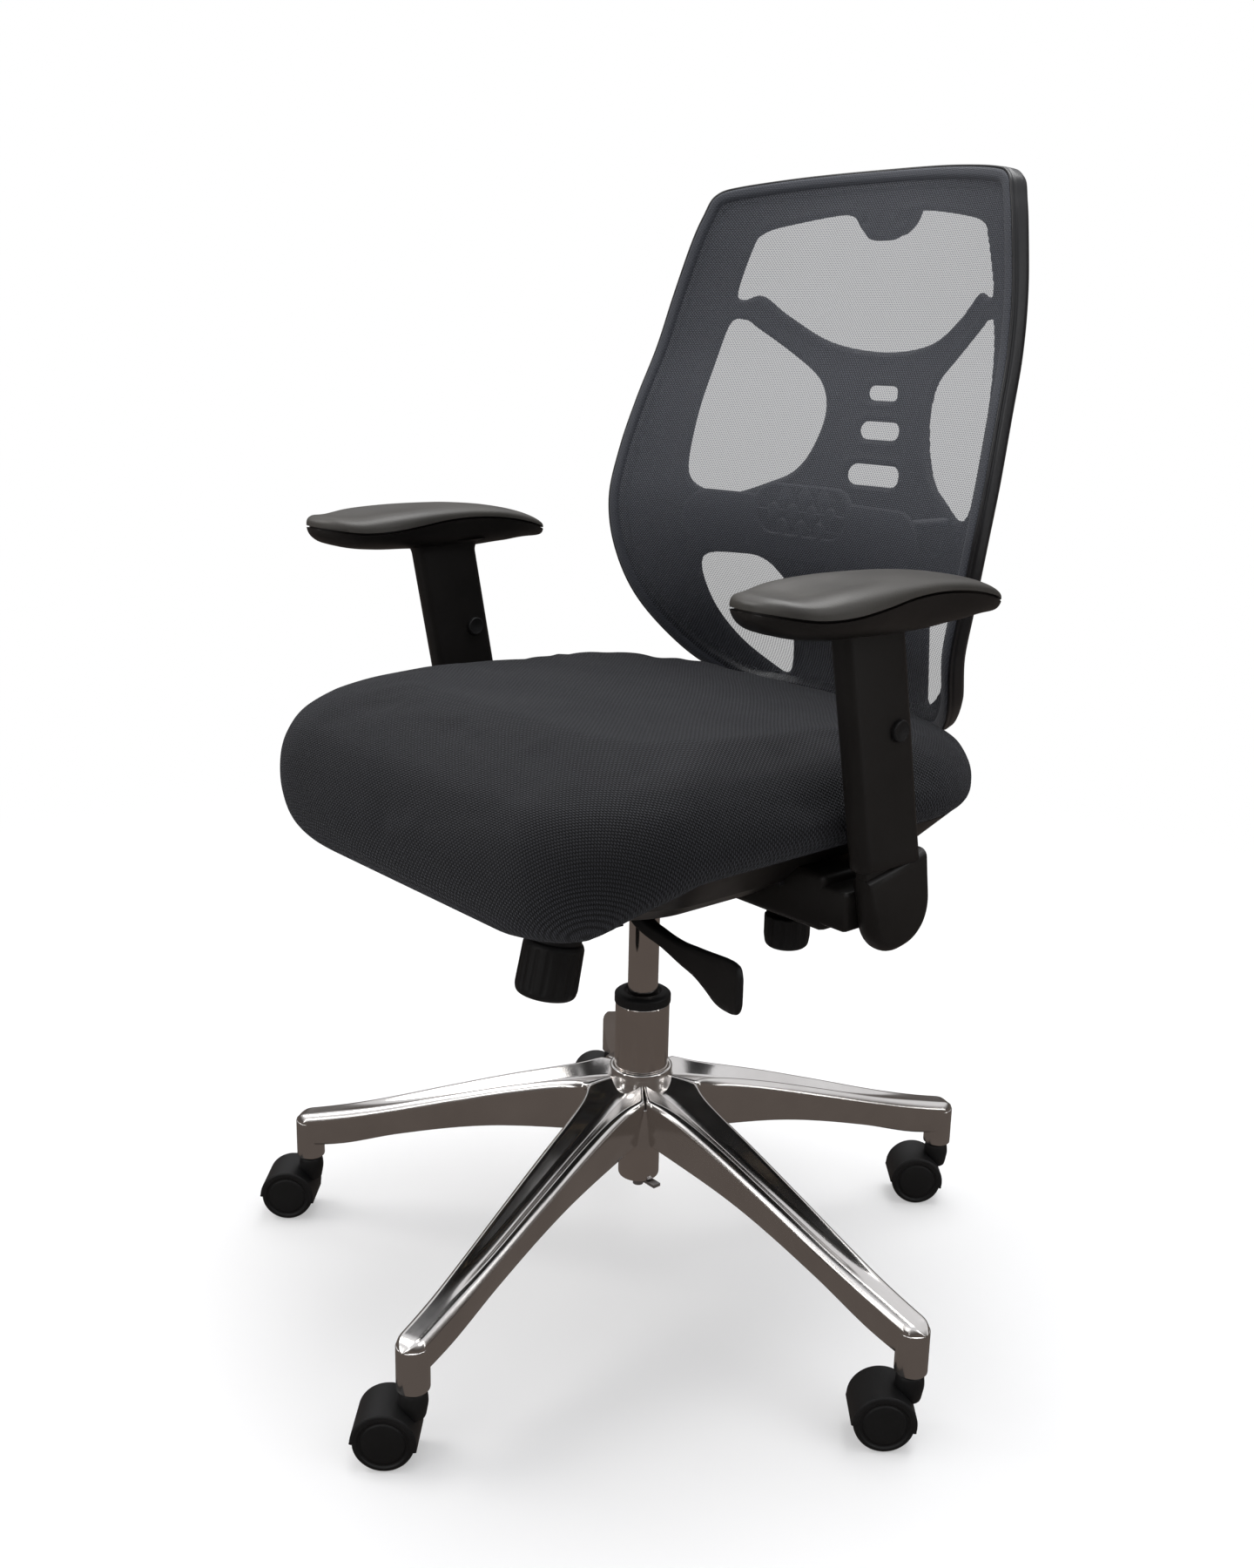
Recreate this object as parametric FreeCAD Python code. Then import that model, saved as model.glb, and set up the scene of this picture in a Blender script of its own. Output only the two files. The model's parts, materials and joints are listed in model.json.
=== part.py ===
"""Swivel office chair with a mesh back, adjustable arms and a five-leg base on twin-wheel casters.

Millimetres, +Z up. The origin is on the floor under the gas column. -Y is the front of the chair and
+X is the sitter's left. Every piece is a node of its own, written to parts/NODE.step.
"""
import FreeCAD, Part
import math
import os

V = FreeCAD.Vector
X_AXIS = V(1, 0, 0)
Y_AXIS = V(0, 1, 0)
Z_AXIS = V(0, 0, 1)

# ---- clearances ----
RUN = 0.05                    # radial clearance of a shaft in its bore
GAP = 0.3                     # gap between faces of different bodies
SLIDE = 0.5                   # gap on each flat side of a telescoping pair

# ---- five-leg base ----
LEG_COUNT = 5
LEG_CIRCLE_R = 335.0          # column axis to each caster stem
HUB_R = 38.0
HUB_BOTTOM_Z = 133.0
HUB_TOP_Z = 200.0
COLLAR_R = 32.0
COLLAR_TOP_Z = 204.0
SOCKET_R = 13.5
SOCKET_BOTTOM_Z = 62.0
TIP_TOP_Z = 112.0
# leg sections: distance from the column as a share of the leg, half width at the top,
# half width at the underside, top height, underside height, depth of the groove
LEG_SECTIONS = [
    (0.09, 24.0, 19.0, 190.0, 134.0, 9.0),
    (0.24, 22.0, 17.0, 182.0, 130.0, 10.0),
    (0.40, 20.0, 15.0, 169.0, 123.0, 9.0),
    (0.58, 17.5, 13.0, 149.0, 111.0, 7.0),
    (0.76, 15.0, 11.5, 129.0, 94.0, 4.0),
    (0.90, 13.8, 11.0, 117.0, 79.0, 0.8),
    (1.00, 13.5, 10.5, 112.0, 72.0, 0.6),
]

# ---- gas column ----
COLUMN_R = 25.0
COLUMN_BORE_R = 21.5
COLUMN_BOTTOM_Z = 91.0
COLUMN_FLOOR = 5.0
COLUMN_TOP_Z = 266.0
BUSH_TOP_Z = 277.0
BUSH_LENGTH = 86.0
CYLINDER_R = 14.0
CYLINDER_WALL = 2.0
CYLINDER_BOTTOM_Z = 192.0
CYLINDER_TOP_Z = 398.0
ROD_R = 5.0
ROD_BOTTOM_Z = 80.0
PISTON_Z = 240.0
PISTON_H = 12.0
VALVE_R = 3.0
VALVE_TOP_Z = 408.0
VALVE_LENGTH = 38.0

# ---- tilt mechanism ----
HOUSING_HALF = 68.0
HOUSING_FRONT_Y = -132.0
HOUSING_REAR_Y = 72.0
HOUSING_BOTTOM_Z = 378.0
HOUSING_FRONT_TOP_Z = 428.0
HOUSING_REAR_TOP_Z = 408.0
HOUSING_WALL = 4.0
HOUSING_CORNER_R = 14.0
SEAT_PIVOT = (-115.0, 415.0)  # Y and Z of the seat hinge
BACK_PIVOT = (55.0, 400.0)    # Y and Z of the back hinge
PIVOT_R = 5.0
LUG_T = 6.0
LUG_R = 12.0
SPRING_R = 11.0
SPRING_TURNS = 9

# ---- tension knob, on an axis that leans back at the top ----
KNOB_FOOT = V(0, -114, 300)
KNOB_LEAN_DEG = 12.3
KNOB_R = 28.0
KNOB_H = 50.0
KNOB_NECK_R = 24.0
KNOB_NECK_TOP = 64.5
KNOB_SPINDLE_R = 8.0
KNOB_SPINDLE_TOP = 98.0
KNOB_FLUTES = 16
FLUTE_R = 2.4

# ---- levers ----
LEVER_PIVOT = V(52, -72, 408.3)
LEVER_PIN_R = 3.0
LEVER_BARREL_R = 6.5
LEVER_BARREL_HALF = 11.5
LEVER_TIP_Y = -111.0
LEVER_ARM_T = 4.0
# paddle sections: X, middle height, half thickness, half height
LEVER_SECTIONS = [
    (73.0, 389.0, 9.0, 6.5), (103.0, 382.0, 6.0, 6.5), (141.0, 379.0, 4.5, 9.5), (177.0, 380.0, 4.0, 14.5),
    (197.0, 378.0, 4.0, 20.0), (233.0, 379.0, 3.5, 21.0),
]
LOCK_Y = -62.0
LOCK_Z = 392.0
LOCK_R = 5.0
LOCK_REACH = 232.0

# ---- seat ----
SEAT_HALF = 251.0
SEAT_FRONT_Y = -265.0
SEAT_REAR_Y = 220.0
SEAT_CORNER_R = 115.0
SEAT_BASE_Z = 478.0           # underside of the cushion over the flat part of the board
SEAT_CROWN_Z = 560.0
BOARD_T = 10.0
SHELL_WALL = 3.0
SHELL_BOTTOM_Z = 424.0
CARRIER_T = 4.0
CARRIER_HALF = 92.0
# cushion sections: height above the lip as a share of the cushion, then how far its sides, front,
# rear and corner radius fall short of the widest section
CUSHION_SECTIONS = [
    (0.000, 34.0, 13.0, 24.0, 12.0),
    (0.118, 18.0, 5.0, 15.0, 6.0),
    (0.300, 5.0, 0.0, 6.0, 2.0),
    (0.485, 0.0, 0.0, 0.0, 0.0),
    (0.670, 4.0, 6.0, 4.0, 3.0),
    (0.838, 17.0, 26.0, 24.0, 11.0),
    (0.941, 40.0, 60.0, 56.0, 22.0),
    (1.000, 78.0, 108.0, 100.0, 38.0),
]
# underside of the seat seen from the side, from the waterfall front to the flat rear
UNDERSIDE = [(-240.0, -54.0), (-216.0, -32.0), (-180.0, -12.0), (-142.0, 0.0)]

# ---- arms ----
ARM_THICK = 20.0
ARM_GAP = 12.0                # cushion side to the upright
ARM_X = SEAT_HALF + ARM_GAP + ARM_THICK / 2
PAD_OUT = 12.0                # middle of the pad outside the middle of the upright
ARM_WIDE = 68.0
ARM_LEAN_DEG = 10.9
ARM_FOOT = (8.0, 443.0)       # Y and Z of the point that the upright leans about
ARM_BOTTOM_Z = 404.0
ARM_SEAM_Z = 469.0
ARM_SLEEVE_TOP_Z = 652.0
POST_TOP_Z = 600.0
SLEEVE_WALL = 4.0
BAR_INNER_X = 105.0
BAR_Y = (-30.0, 36.0)
BAR_Z = (418.0, 450.0)
BLOCK_X = (140.0, 242.0)
BLOCK_Z = (412.0, 458.0)
BUTTON_R = 9.0
BUTTON_OFFSET = 15.0          # behind the middle of the upright
BUTTON_Z = 577.0
BUTTON_PROUD = 3.5
BUTTON_TRAVEL = 3.5
ARM_KNOB_AT = (175.0, 2.0)
ARM_KNOB_R = 19.0
ARM_SPINDLE_R = 4.0
ARM_KNOB_Z = (374.0, 402.0)
# pad stations: Y, half width, height of the seam, rise of the crown, depth of the underside
PAD_STATIONS = [
    (-166.0, 9.0, 681.0, 4.0, 4.0),
    (-156.0, 27.0, 679.0, 9.0, 10.0),
    (-138.0, 41.0, 677.0, 14.0, 17.0),
    (-112.0, 47.0, 678.0, 18.0, 21.0),
    (-80.0, 46.0, 682.0, 17.0, 26.0),
    (-40.0, 40.0, 687.0, 12.0, 33.0),
    (0.0, 34.0, 688.0, 10.0, 34.0),
    (40.0, 31.0, 685.0, 9.0, 27.0),
    (74.0, 27.0, 679.0, 8.0, 17.0),
    (92.0, 19.0, 674.0, 6.0, 10.0),
    (101.0, 7.0, 671.0, 3.0, 4.0),
]

# ---- back ----
# height, half width, Y at the side edge, bow of the mesh and bow of the lattice behind it
BACK_SECTIONS = [
    (495.0, 140.0, 250.0, 26.0, 28.0),
    (550.0, 173.0, 192.0, 46.0, 86.0),
    (600.0, 200.0, 154.0, 40.0, 121.0),
    (650.0, 219.0, 138.0, 33.0, 126.0),
    (700.0, 228.0, 136.0, 30.0, 126.0),
    (750.0, 227.0, 148.0, 30.0, 119.0),
    (800.0, 222.0, 166.0, 32.0, 108.0),
    (850.0, 215.0, 184.0, 35.0, 89.0),
    (900.0, 207.0, 199.0, 38.0, 72.0),
    (950.0, 195.0, 211.0, 42.0, 56.0),
    (1000.0, 182.0, 222.0, 46.0, 44.0),
    (1026.0, 174.0, 227.0, 48.0, 44.0),
]
# right half of the outline of the back, from the middle of the bottom to the middle of the top
BACK_OUTLINE = [
    (0.0, 505.0), (80.0, 505.0), (122.0, 509.0), (146.0, 521.0), (173.0, 550.0), (200.0, 600.0),
    (219.0, 650.0), (228.0, 700.0), (227.0, 750.0), (222.0, 800.0), (215.0, 850.0), (207.0, 900.0),
    (195.0, 950.0), (187.0, 978.0), (174.0, 999.0), (150.0, 1007.0), (80.0, 1014.0), (0.0, 1016.0),
]
RIM_WIDTH = 16.0
RIM_DEPTH = 16.0
RING_INSET = 2.5
RING_WIDTH = 9.5
MESH_T = 1.2
LATTICE_T = 5.0
LATTICE_SHIFT = 4.0
LATTICE_INSET = 8.0
# right half of the upper window; its notch carries the headrest fixing
UPPER_WINDOW = [
    (0.0, 950.0), (18.0, 952.0), (28.0, 962.0), (44.0, 974.0), (108.0, 966.0), (134.0, 958.0),
    (143.0, 944.0), (156.0, 905.0), (150.0, 897.0), (132.0, 901.0), (106.0, 882.0), (61.0, 858.0),
    (0.0, 850.0),
]
MIDDLE_WINDOW = [
    (163.0, 872.0), (148.0, 878.0), (136.0, 870.0), (104.0, 848.0), (76.0, 826.0), (66.0, 806.0),
    (66.0, 782.0), (76.0, 752.0), (90.0, 733.0), (110.0, 722.0), (142.0, 709.0), (165.0, 712.0),
    (180.0, 728.0), (181.0, 770.0), (176.0, 815.0),
]
LOWER_WINDOW = [
    (162.0, 644.0), (132.0, 649.0), (114.0, 646.0), (100.0, 634.0), (89.0, 612.0), (87.0, 560.0),
    (90.0, 530.0), (104.0, 534.0), (132.0, 560.0), (154.0, 600.0),
]
SPINE_SLOTS = [(812.0, 18.0, 7.0), (777.0, 24.0, 8.5), (735.0, 32.0, 10.0)]
LUMBAR_WINDOW = (104.0, 674.0, 712.0)   # half width, bottom and top of the opening behind the pad
SPINE_HALF = 45.0
SPINE_FRONT_Y = 296.0
SPINE_T = 8.0
SPINE_BOTTOM_Z = 574.0
SPINE_TOP_Z = 658.0
YOKE_Z = (391.0, 407.0)
BACK_BOLT_X = 22.0
BACK_BOLT_Z = (592.0, 640.0)
HEADREST_Z = 969.0
HEADREST_SPACING = 45.0
HEADREST_HOLE_R = 3.5
HEADREST_FACE_Y = 287.0
LUMBAR_HALF = (150.0, 37.0)
LUMBAR_Z = 704.0
LUMBAR_POST_X = 128.0
LUMBAR_SHIFT = 9.0
LUMBAR_T = 3.0
LUMBAR_DISC_R = 7.5
LUMBAR_DISC_PITCH = 24.0

# ---- casters ----
CASTER_HEADING_DEG = 228.6
CASTER_TRAIL = 21.0
WHEEL_R = 25.0
WHEEL_W = 17.0
WEB_HALF = 4.2
HOOD_R = 29.0
HOOD_HALF = 21.5
STEM_R = 5.5
STEM_TOP_Z = 98.0
CASTER_BOSS_R = 10.5
CASTER_TOP_Z = 60.5
AXLE_R = 3.0

nodes = {}


# ---------------------------------------------------------------- helpers
def cyl(radius, start, end):
    """Cylinder of a radius from one point to another."""
    axis = end.sub(start)
    return Part.makeCylinder(radius, axis.Length, start, axis)


def box(x, y, z):
    """Box between the low and high value on each axis."""
    return Part.makeBox(x[1] - x[0], y[1] - y[0], z[1] - z[0], V(x[0], y[0], z[0]))


def turned(profile, base=V(0, 0, 0), direction=Z_AXIS):
    """Solid of revolution of (radius, height) points, about a line from base along direction."""
    points = [V(r, 0, h) for r, h in profile]
    points.append(points[0])
    solid = Part.Face(Part.makePolygon(points)).revolve(V(0, 0, 0), Z_AXIS, 360)
    solid.Placement = FreeCAD.Placement(base, FreeCAD.Rotation(Z_AXIS, direction))
    return solid


def side_prism(points, x):
    """Prism along X between the two values of x, of an outline of (Y, Z) points."""
    corners = [V(x[0], y, z) for y, z in points]
    corners.append(corners[0])
    return Part.Face(Part.makePolygon(corners)).extrude(V(x[1] - x[0], 0, 0))


def closed_spline(points):
    """Smooth closed wire in the XZ plane through (X, Z) points."""
    curve = Part.BSplineCurve()
    curve.interpolate(Points=[V(x, 0, z) for x, z in points], PeriodicFlag=True)
    return Part.Wire([curve.toShape()])


def through_back(wire):
    """Prism along Y of a flat wire, long enough to pass the whole back."""
    return Part.Face(wire).extrude(V(0, 420, 0))


def mirrored(half):
    """Closed point list from a half outline that starts and ends on the middle line."""
    other = [(-x, z) for x, z in reversed(half[1:-1])]
    return half + other


def inset(points, distance):
    """Closed outline moved inwards by a distance along its own normals."""
    moved = []
    count = len(points)
    for i, (x, z) in enumerate(points):
        before = points[i - 1]
        after = points[(i + 1) % count]
        tx = after[0] - before[0]
        tz = after[1] - before[1]
        length = math.hypot(tx, tz)
        moved.append((x - distance * tz / length, z + distance * tx / length))
    return moved


def rounded_wire(half, front, rear, radius, z):
    """Rounded rectangle at a height, symmetric about X = 0."""
    x0, x1, r = -half, half, radius
    corners = [
        (V(x1, front + r, z), V(x1, rear - r, z), V(x1 - r, rear - r, z), 0),
        (V(x1 - r, rear, z), V(x0 + r, rear, z), V(x0 + r, rear - r, z), 90),
        (V(x0, rear - r, z), V(x0, front + r, z), V(x0 + r, front + r, z), 180),
        (V(x0 + r, front, z), V(x1 - r, front, z), V(x1 - r, front + r, z), 270),
    ]
    edges = []
    for start, end, centre, angle in corners:
        edges.append(Part.makeLine(start, end))
        edges.append(Part.makeCircle(r, centre, Z_AXIS, angle, angle + 90))
    return Part.Wire(edges)


def rounded_box(x, y, z, radius):
    """Box with its four vertical edges rounded."""
    solid = box(x, y, z)
    upright = [e for e in solid.Edges if abs(e.Vertexes[0].Z - e.Vertexes[-1].Z) > 1]
    return solid.makeFillet(radius, upright)


def fluted(knob, radius, count, z, centre):
    """Knob with finger grooves round it, cut between the two heights."""
    for index in range(count):
        flute = cyl(FLUTE_R, V(radius + 1, 0, z[0] - 1), V(radius + 1, 0, z[1] + 1))
        flute.rotate(V(0, 0, 0), Z_AXIS, 360.0 / count * index)
        flute.translate(centre)
        knob = knob.cut(flute)
    return knob


def mirror_x(shape):
    """The shape on the other side of the middle plane."""
    return shape.mirror(V(0, 0, 0), X_AXIS)


def tidy(shape):
    """Merge the faces that a boolean left split."""
    return shape.removeSplitter()


# ---------------------------------------------------------------- base and column
def leg():
    """One leg along +X: ruled sections with two ridges and a groove, and the caster socket."""
    wires = []
    for share, top_half, low_half, top, low, groove in LEG_SECTIONS:
        x = share * LEG_CIRCLE_R
        ridge = 0.72 * top_half
        points = [
            V(x, -low_half, low), V(x, low_half, low), V(x, top_half, top - 5), V(x, ridge, top),
            V(x, 2.5, top - groove), V(x, -2.5, top - groove), V(x, -ridge, top), V(x, -top_half, top - 5),
        ]
        points.append(points[0])
        wires.append(Part.makePolygon(points))
    beam = Part.makeLoft(wires, True, True)
    socket = turned([
        (0, SOCKET_BOTTOM_Z), (SOCKET_R - 1, SOCKET_BOTTOM_Z), (SOCKET_R, SOCKET_BOTTOM_Z + 1),
        (SOCKET_R, TIP_TOP_Z - 6), (SOCKET_R - 2, TIP_TOP_Z - 2), (SOCKET_R - 6, TIP_TOP_Z), (0, TIP_TOP_Z),
    ], V(LEG_CIRCLE_R, 0, 0))
    bore = cyl(STEM_R + RUN, V(LEG_CIRCLE_R, 0, SOCKET_BOTTOM_Z - 1), V(LEG_CIRCLE_R, 0, STEM_TOP_Z + 2))
    return beam.fuse(socket).cut(bore)


def leg_angle(index):
    return index * 360.0 / LEG_COUNT


def base_star():
    hub = turned([
        (0, HUB_BOTTOM_Z), (HUB_R - 3, HUB_BOTTOM_Z), (HUB_R, HUB_BOTTOM_Z + 6), (HUB_R, HUB_TOP_Z - 12),
        (COLLAR_R + 1, HUB_TOP_Z - 2), (COLLAR_R, HUB_TOP_Z), (COLLAR_R, COLLAR_TOP_Z), (0, COLLAR_TOP_Z),
    ])
    star = hub
    one = leg()
    for index in range(LEG_COUNT):
        turned_leg = one.copy()
        turned_leg.rotate(V(0, 0, 0), Z_AXIS, leg_angle(index))
        star = star.fuse(turned_leg)
    return tidy(star.cut(cyl(COLUMN_R, V(0, 0, 100), V(0, 0, 240))))


def column():
    floor_top = COLUMN_BOTTOM_Z + COLUMN_FLOOR
    nodes["column_tube"] = turned([
        (ROD_R + 0.5, COLUMN_BOTTOM_Z), (COLUMN_R - 3.5, COLUMN_BOTTOM_Z), (COLUMN_R, COLUMN_BOTTOM_Z + 6),
        (COLUMN_R, COLUMN_TOP_Z), (COLUMN_BORE_R, COLUMN_TOP_Z), (COLUMN_BORE_R, floor_top),
        (ROD_R + 0.5, floor_top),
    ])
    bush_r = CYLINDER_R + RUN
    nodes["column_bush"] = turned([
        (bush_r, COLUMN_TOP_Z - BUSH_LENGTH), (COLUMN_BORE_R, COLUMN_TOP_Z - BUSH_LENGTH),
        (COLUMN_BORE_R, COLUMN_TOP_Z), (COLUMN_R + 1, COLUMN_TOP_Z), (COLUMN_R + 1, BUSH_TOP_Z - 3),
        (COLUMN_R - 1.5, BUSH_TOP_Z), (bush_r, BUSH_TOP_Z),
    ])
    nodes["piston_rod"] = turned([
        (0, ROD_BOTTOM_Z), (ROD_R, ROD_BOTTOM_Z), (ROD_R, PISTON_Z),
        (CYLINDER_R - CYLINDER_WALL - GAP, PISTON_Z), (CYLINDER_R - CYLINDER_WALL - GAP, PISTON_Z + PISTON_H),
        (0, PISTON_Z + PISTON_H),
    ])
    nodes["thrust_bearing"] = turned([
        (ROD_R, floor_top + GAP), (13, floor_top + GAP), (13, floor_top + 8), (ROD_R, floor_top + 8),
    ])
    clip_top = COLUMN_BOTTOM_Z - 1
    clip = turned([(ROD_R, clip_top - 3), (11, clip_top - 3), (11, clip_top), (ROD_R, clip_top)])
    tab = box((9, 27), (-4, 4), (clip_top - 3, clip_top))
    nodes["retaining_clip"] = tidy(clip.fuse(tab))
    bore_top = CYLINDER_TOP_Z - 26
    inner = CYLINDER_R - CYLINDER_WALL
    nodes["gas_cylinder"] = turned([
        (ROD_R + RUN, CYLINDER_BOTTOM_Z), (CYLINDER_R - 1, CYLINDER_BOTTOM_Z),
        (CYLINDER_R, CYLINDER_BOTTOM_Z + 1), (CYLINDER_R, CYLINDER_TOP_Z), (VALVE_R + RUN, CYLINDER_TOP_Z),
        (VALVE_R + RUN, bore_top), (inner, bore_top), (inner, CYLINDER_BOTTOM_Z + 4),
        (ROD_R + RUN, CYLINDER_BOTTOM_Z + 4),
    ])
    nodes["valve_pin"] = cyl(VALVE_R, V(0, 0, VALVE_TOP_Z - VALVE_LENGTH), V(0, 0, VALVE_TOP_Z))


# ---------------------------------------------------------------- tilt mechanism
def knob_axis():
    lean = math.radians(KNOB_LEAN_DEG)
    return V(0, math.sin(lean), math.cos(lean))


def along_knob(distance):
    return KNOB_FOOT.add(knob_axis().multiply(distance))


def mechanism():
    slope = (HOUSING_REAR_TOP_Z - HOUSING_FRONT_TOP_Z) / (HOUSING_REAR_Y - HOUSING_FRONT_Y)
    high = HOUSING_FRONT_TOP_Z + 20
    wall = HOUSING_WALL
    outer = rounded_box((-HOUSING_HALF, HOUSING_HALF), (HOUSING_FRONT_Y, HOUSING_REAR_Y),
                        (HOUSING_BOTTOM_Z, high), HOUSING_CORNER_R)
    inner = rounded_box((-HOUSING_HALF + wall, HOUSING_HALF - wall),
                        (HOUSING_FRONT_Y + wall, HOUSING_REAR_Y - wall),
                        (HOUSING_BOTTOM_Z + wall, high + 1), HOUSING_CORNER_R - wall)
    tray = outer.cut(inner)
    tray = tray.fuse(cyl(22, V(0, 0, HOUSING_BOTTOM_Z - 6), V(0, 0, CYLINDER_TOP_Z)))
    tray = tray.fuse(cyl(26, along_knob(KNOB_NECK_TOP + 1.2), along_knob(KNOB_NECK_TOP + 20)))
    for y in (LEVER_PIVOT.y - LEVER_BARREL_HALF - 4.5, LEVER_PIVOT.y + LEVER_BARREL_HALF + 0.5):
        tray = tray.fuse(box((LEVER_PIVOT.x - 8, HOUSING_HALF - 2), (y, y + 4),
                             (HOUSING_BOTTOM_Z + 1, LEVER_PIVOT.z + 7)))
    for y, z in (SEAT_PIVOT, BACK_PIVOT):
        for side in (-1, 1):
            start = V(side * (HOUSING_HALF - 10), y, z)
            end = V(side * HOUSING_HALF, y, z)
            tray = tray.fuse(cyl(8.5, start, end))
    above = side_prism([
        (HOUSING_FRONT_Y - 5, HOUSING_FRONT_TOP_Z - 5 * slope),
        (HOUSING_REAR_Y + 5, HOUSING_REAR_TOP_Z + 5 * slope),
        (HOUSING_REAR_Y + 5, high + 30),
        (HOUSING_FRONT_Y - 5, high + 30),
    ], (-HOUSING_HALF - 5, HOUSING_HALF + 5))
    tray = tray.cut(above)
    tray = tray.cut(cyl(CYLINDER_R, V(0, 0, HOUSING_BOTTOM_Z - 10), V(0, 0, CYLINDER_TOP_Z + 5)))
    tray = tray.cut(cyl(KNOB_SPINDLE_R + RUN, along_knob(40), along_knob(120)))
    for y, z in (SEAT_PIVOT, BACK_PIVOT):
        tray = tray.cut(cyl(PIVOT_R, V(-90, y, z), V(90, y, z)))
    pin_half = LEVER_BARREL_HALF + 6
    tray = tray.cut(cyl(LEVER_PIN_R, LEVER_PIVOT.sub(Y_AXIS * pin_half), LEVER_PIVOT.add(Y_AXIS * pin_half)))
    slot = box((HOUSING_HALF - 8, HOUSING_HALF + 3),
               (LEVER_PIVOT.y - LEVER_BARREL_HALF, LEVER_PIVOT.y + LEVER_BARREL_HALF),
               (HOUSING_BOTTOM_Z - 1, LEVER_PIVOT.z + 8))
    tray = tray.cut(slot)
    tray = tray.cut(cyl(LOCK_R + RUN, V(-HOUSING_HALF - 2, LOCK_Y, LOCK_Z), V(-40, LOCK_Y, LOCK_Z)))
    nodes["mechanism_housing"] = tidy(tray)

    seat_pin_half = HOUSING_HALF + GAP + LUG_T
    pins = []
    for y, z in (SEAT_PIVOT, BACK_PIVOT):
        pins.append(cyl(PIVOT_R, V(-seat_pin_half, y, z), V(seat_pin_half, y, z)))
    pins.append(cyl(LEVER_PIN_R, LEVER_PIVOT.sub(Y_AXIS * pin_half), LEVER_PIVOT.add(Y_AXIS * pin_half)))
    nodes["pivot_pins"] = Part.makeCompound(pins)

    pitch = 2.0 * 38 / SPRING_TURNS
    profile = [(PIVOT_R, -38)]
    for turn in range(SPRING_TURNS):
        start = -38 + turn * pitch
        profile += [(SPRING_R - 2, start), (SPRING_R, start + pitch / 3), (SPRING_R, start + 2 * pitch / 3)]
    profile += [(SPRING_R - 2, 38), (PIVOT_R, 38)]
    nodes["tension_spring"] = turned(profile, V(0, *SEAT_PIVOT), X_AXIS)


def tension_knob():
    body = turned([
        (0, 0), (KNOB_R - 4, 0), (KNOB_R, 4), (KNOB_R, KNOB_H - 3), (KNOB_NECK_R, KNOB_H),
        (KNOB_NECK_R, KNOB_NECK_TOP), (KNOB_SPINDLE_R, KNOB_NECK_TOP), (KNOB_SPINDLE_R, KNOB_SPINDLE_TOP),
        (0, KNOB_SPINDLE_TOP),
    ])
    body = fluted(body, KNOB_R, KNOB_FLUTES, (0, KNOB_H - 7), V(0, 0, 0))
    body.Placement = FreeCAD.Placement(KNOB_FOOT, FreeCAD.Rotation(Z_AXIS, knob_axis()))
    nodes["tension_knob"] = body


def cross_section(x, y, z, half_y, half_z):
    """Eight-sided section of the lever, square to X, about its middle point."""
    shape = [
        (-1, -0.4), (-0.6, -1), (0.6, -1), (1, -0.4), (1, 0.4), (0.6, 1), (-0.6, 1), (-1, 0.4), (-1, -0.4),
    ]
    return Part.makePolygon([V(x, y + a * half_y, z + b * half_z) for a, b in shape])


def height_lever():
    """Barrel on its pin, an inner arm over the valve pin, and a drooping paddle outside."""
    pivot = LEVER_PIVOT
    half = LEVER_BARREL_HALF - 0.5
    barrel = cyl(LEVER_BARREL_R, pivot.sub(Y_AXIS * half), pivot.add(Y_AXIS * half))
    arm_plan = [
        (pivot.x + 4, pivot.y - 6), (pivot.x + 4, pivot.y + 10), (pivot.x - 11, pivot.y + 10),
        (6, 5), (-5, 5), (-5, -5), (pivot.x - 19, pivot.y - 6),
    ]
    corners = [V(x, y, pivot.z) for x, y in arm_plan]
    corners.append(corners[0])
    arm = Part.Face(Part.makePolygon(corners)).extrude(V(0, 0, LEVER_ARM_T))
    root_x, root_z, root_y_half, root_z_half = LEVER_SECTIONS[0]
    tip_x = LEVER_SECTIONS[-1][0]
    root_y = pivot.y - 1
    neck = Part.makeLoft([
        cross_section(pivot.x, pivot.y, pivot.z - 1, 9, 4.5),
        cross_section(root_x, root_y, root_z + 1, root_y_half, root_z_half),
    ], True, True)
    wires = []
    for x, z, half_y, half_z in LEVER_SECTIONS:
        y = root_y + (x - root_x) / (tip_x - root_x) * (LEVER_TIP_Y - root_y)
        wires.append(cross_section(x, y, z, half_y, half_z))
    paddle = Part.makeLoft(wires, True, True)
    lever = barrel.fuse(arm).fuse(neck).fuse(paddle)
    bore = cyl(LEVER_PIN_R + RUN, pivot.sub(Y_AXIS * 20), pivot.add(Y_AXIS * 20))
    nodes["height_lever"] = tidy(lever.cut(bore))


def tilt_lock_lever():
    shaft = cyl(LOCK_R, V(-50, LOCK_Y, LOCK_Z), V(-LOCK_REACH + 40, LOCK_Y, LOCK_Z))
    cam = cyl(9, V(-50, LOCK_Y, LOCK_Z), V(-HOUSING_HALF + HOUSING_WALL + 1, LOCK_Y, LOCK_Z))
    tab = box((-LOCK_REACH, -LOCK_REACH + 50), (LOCK_Y - 17, LOCK_Y + 17), (LOCK_Z - 4, LOCK_Z + 4))
    upright = [e for e in tab.Edges if abs(e.Vertexes[0].Z - e.Vertexes[-1].Z) > 1]
    nodes["tilt_lock_lever"] = tidy(shaft.fuse(cam).fuse(tab.makeFillet(10, upright)))


# ---------------------------------------------------------------- seat
def underside_points(shift):
    """Underside curve of the seat as (Y, Z) points, from the front lip to the rear."""
    return [(y, SEAT_BASE_Z + dz + shift) for y, dz in UNDERSIDE]


def bolt_places():
    return [(side * 76.0, y) for side in (-1, 1) for y in (-92.0, 118.0)]


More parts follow.
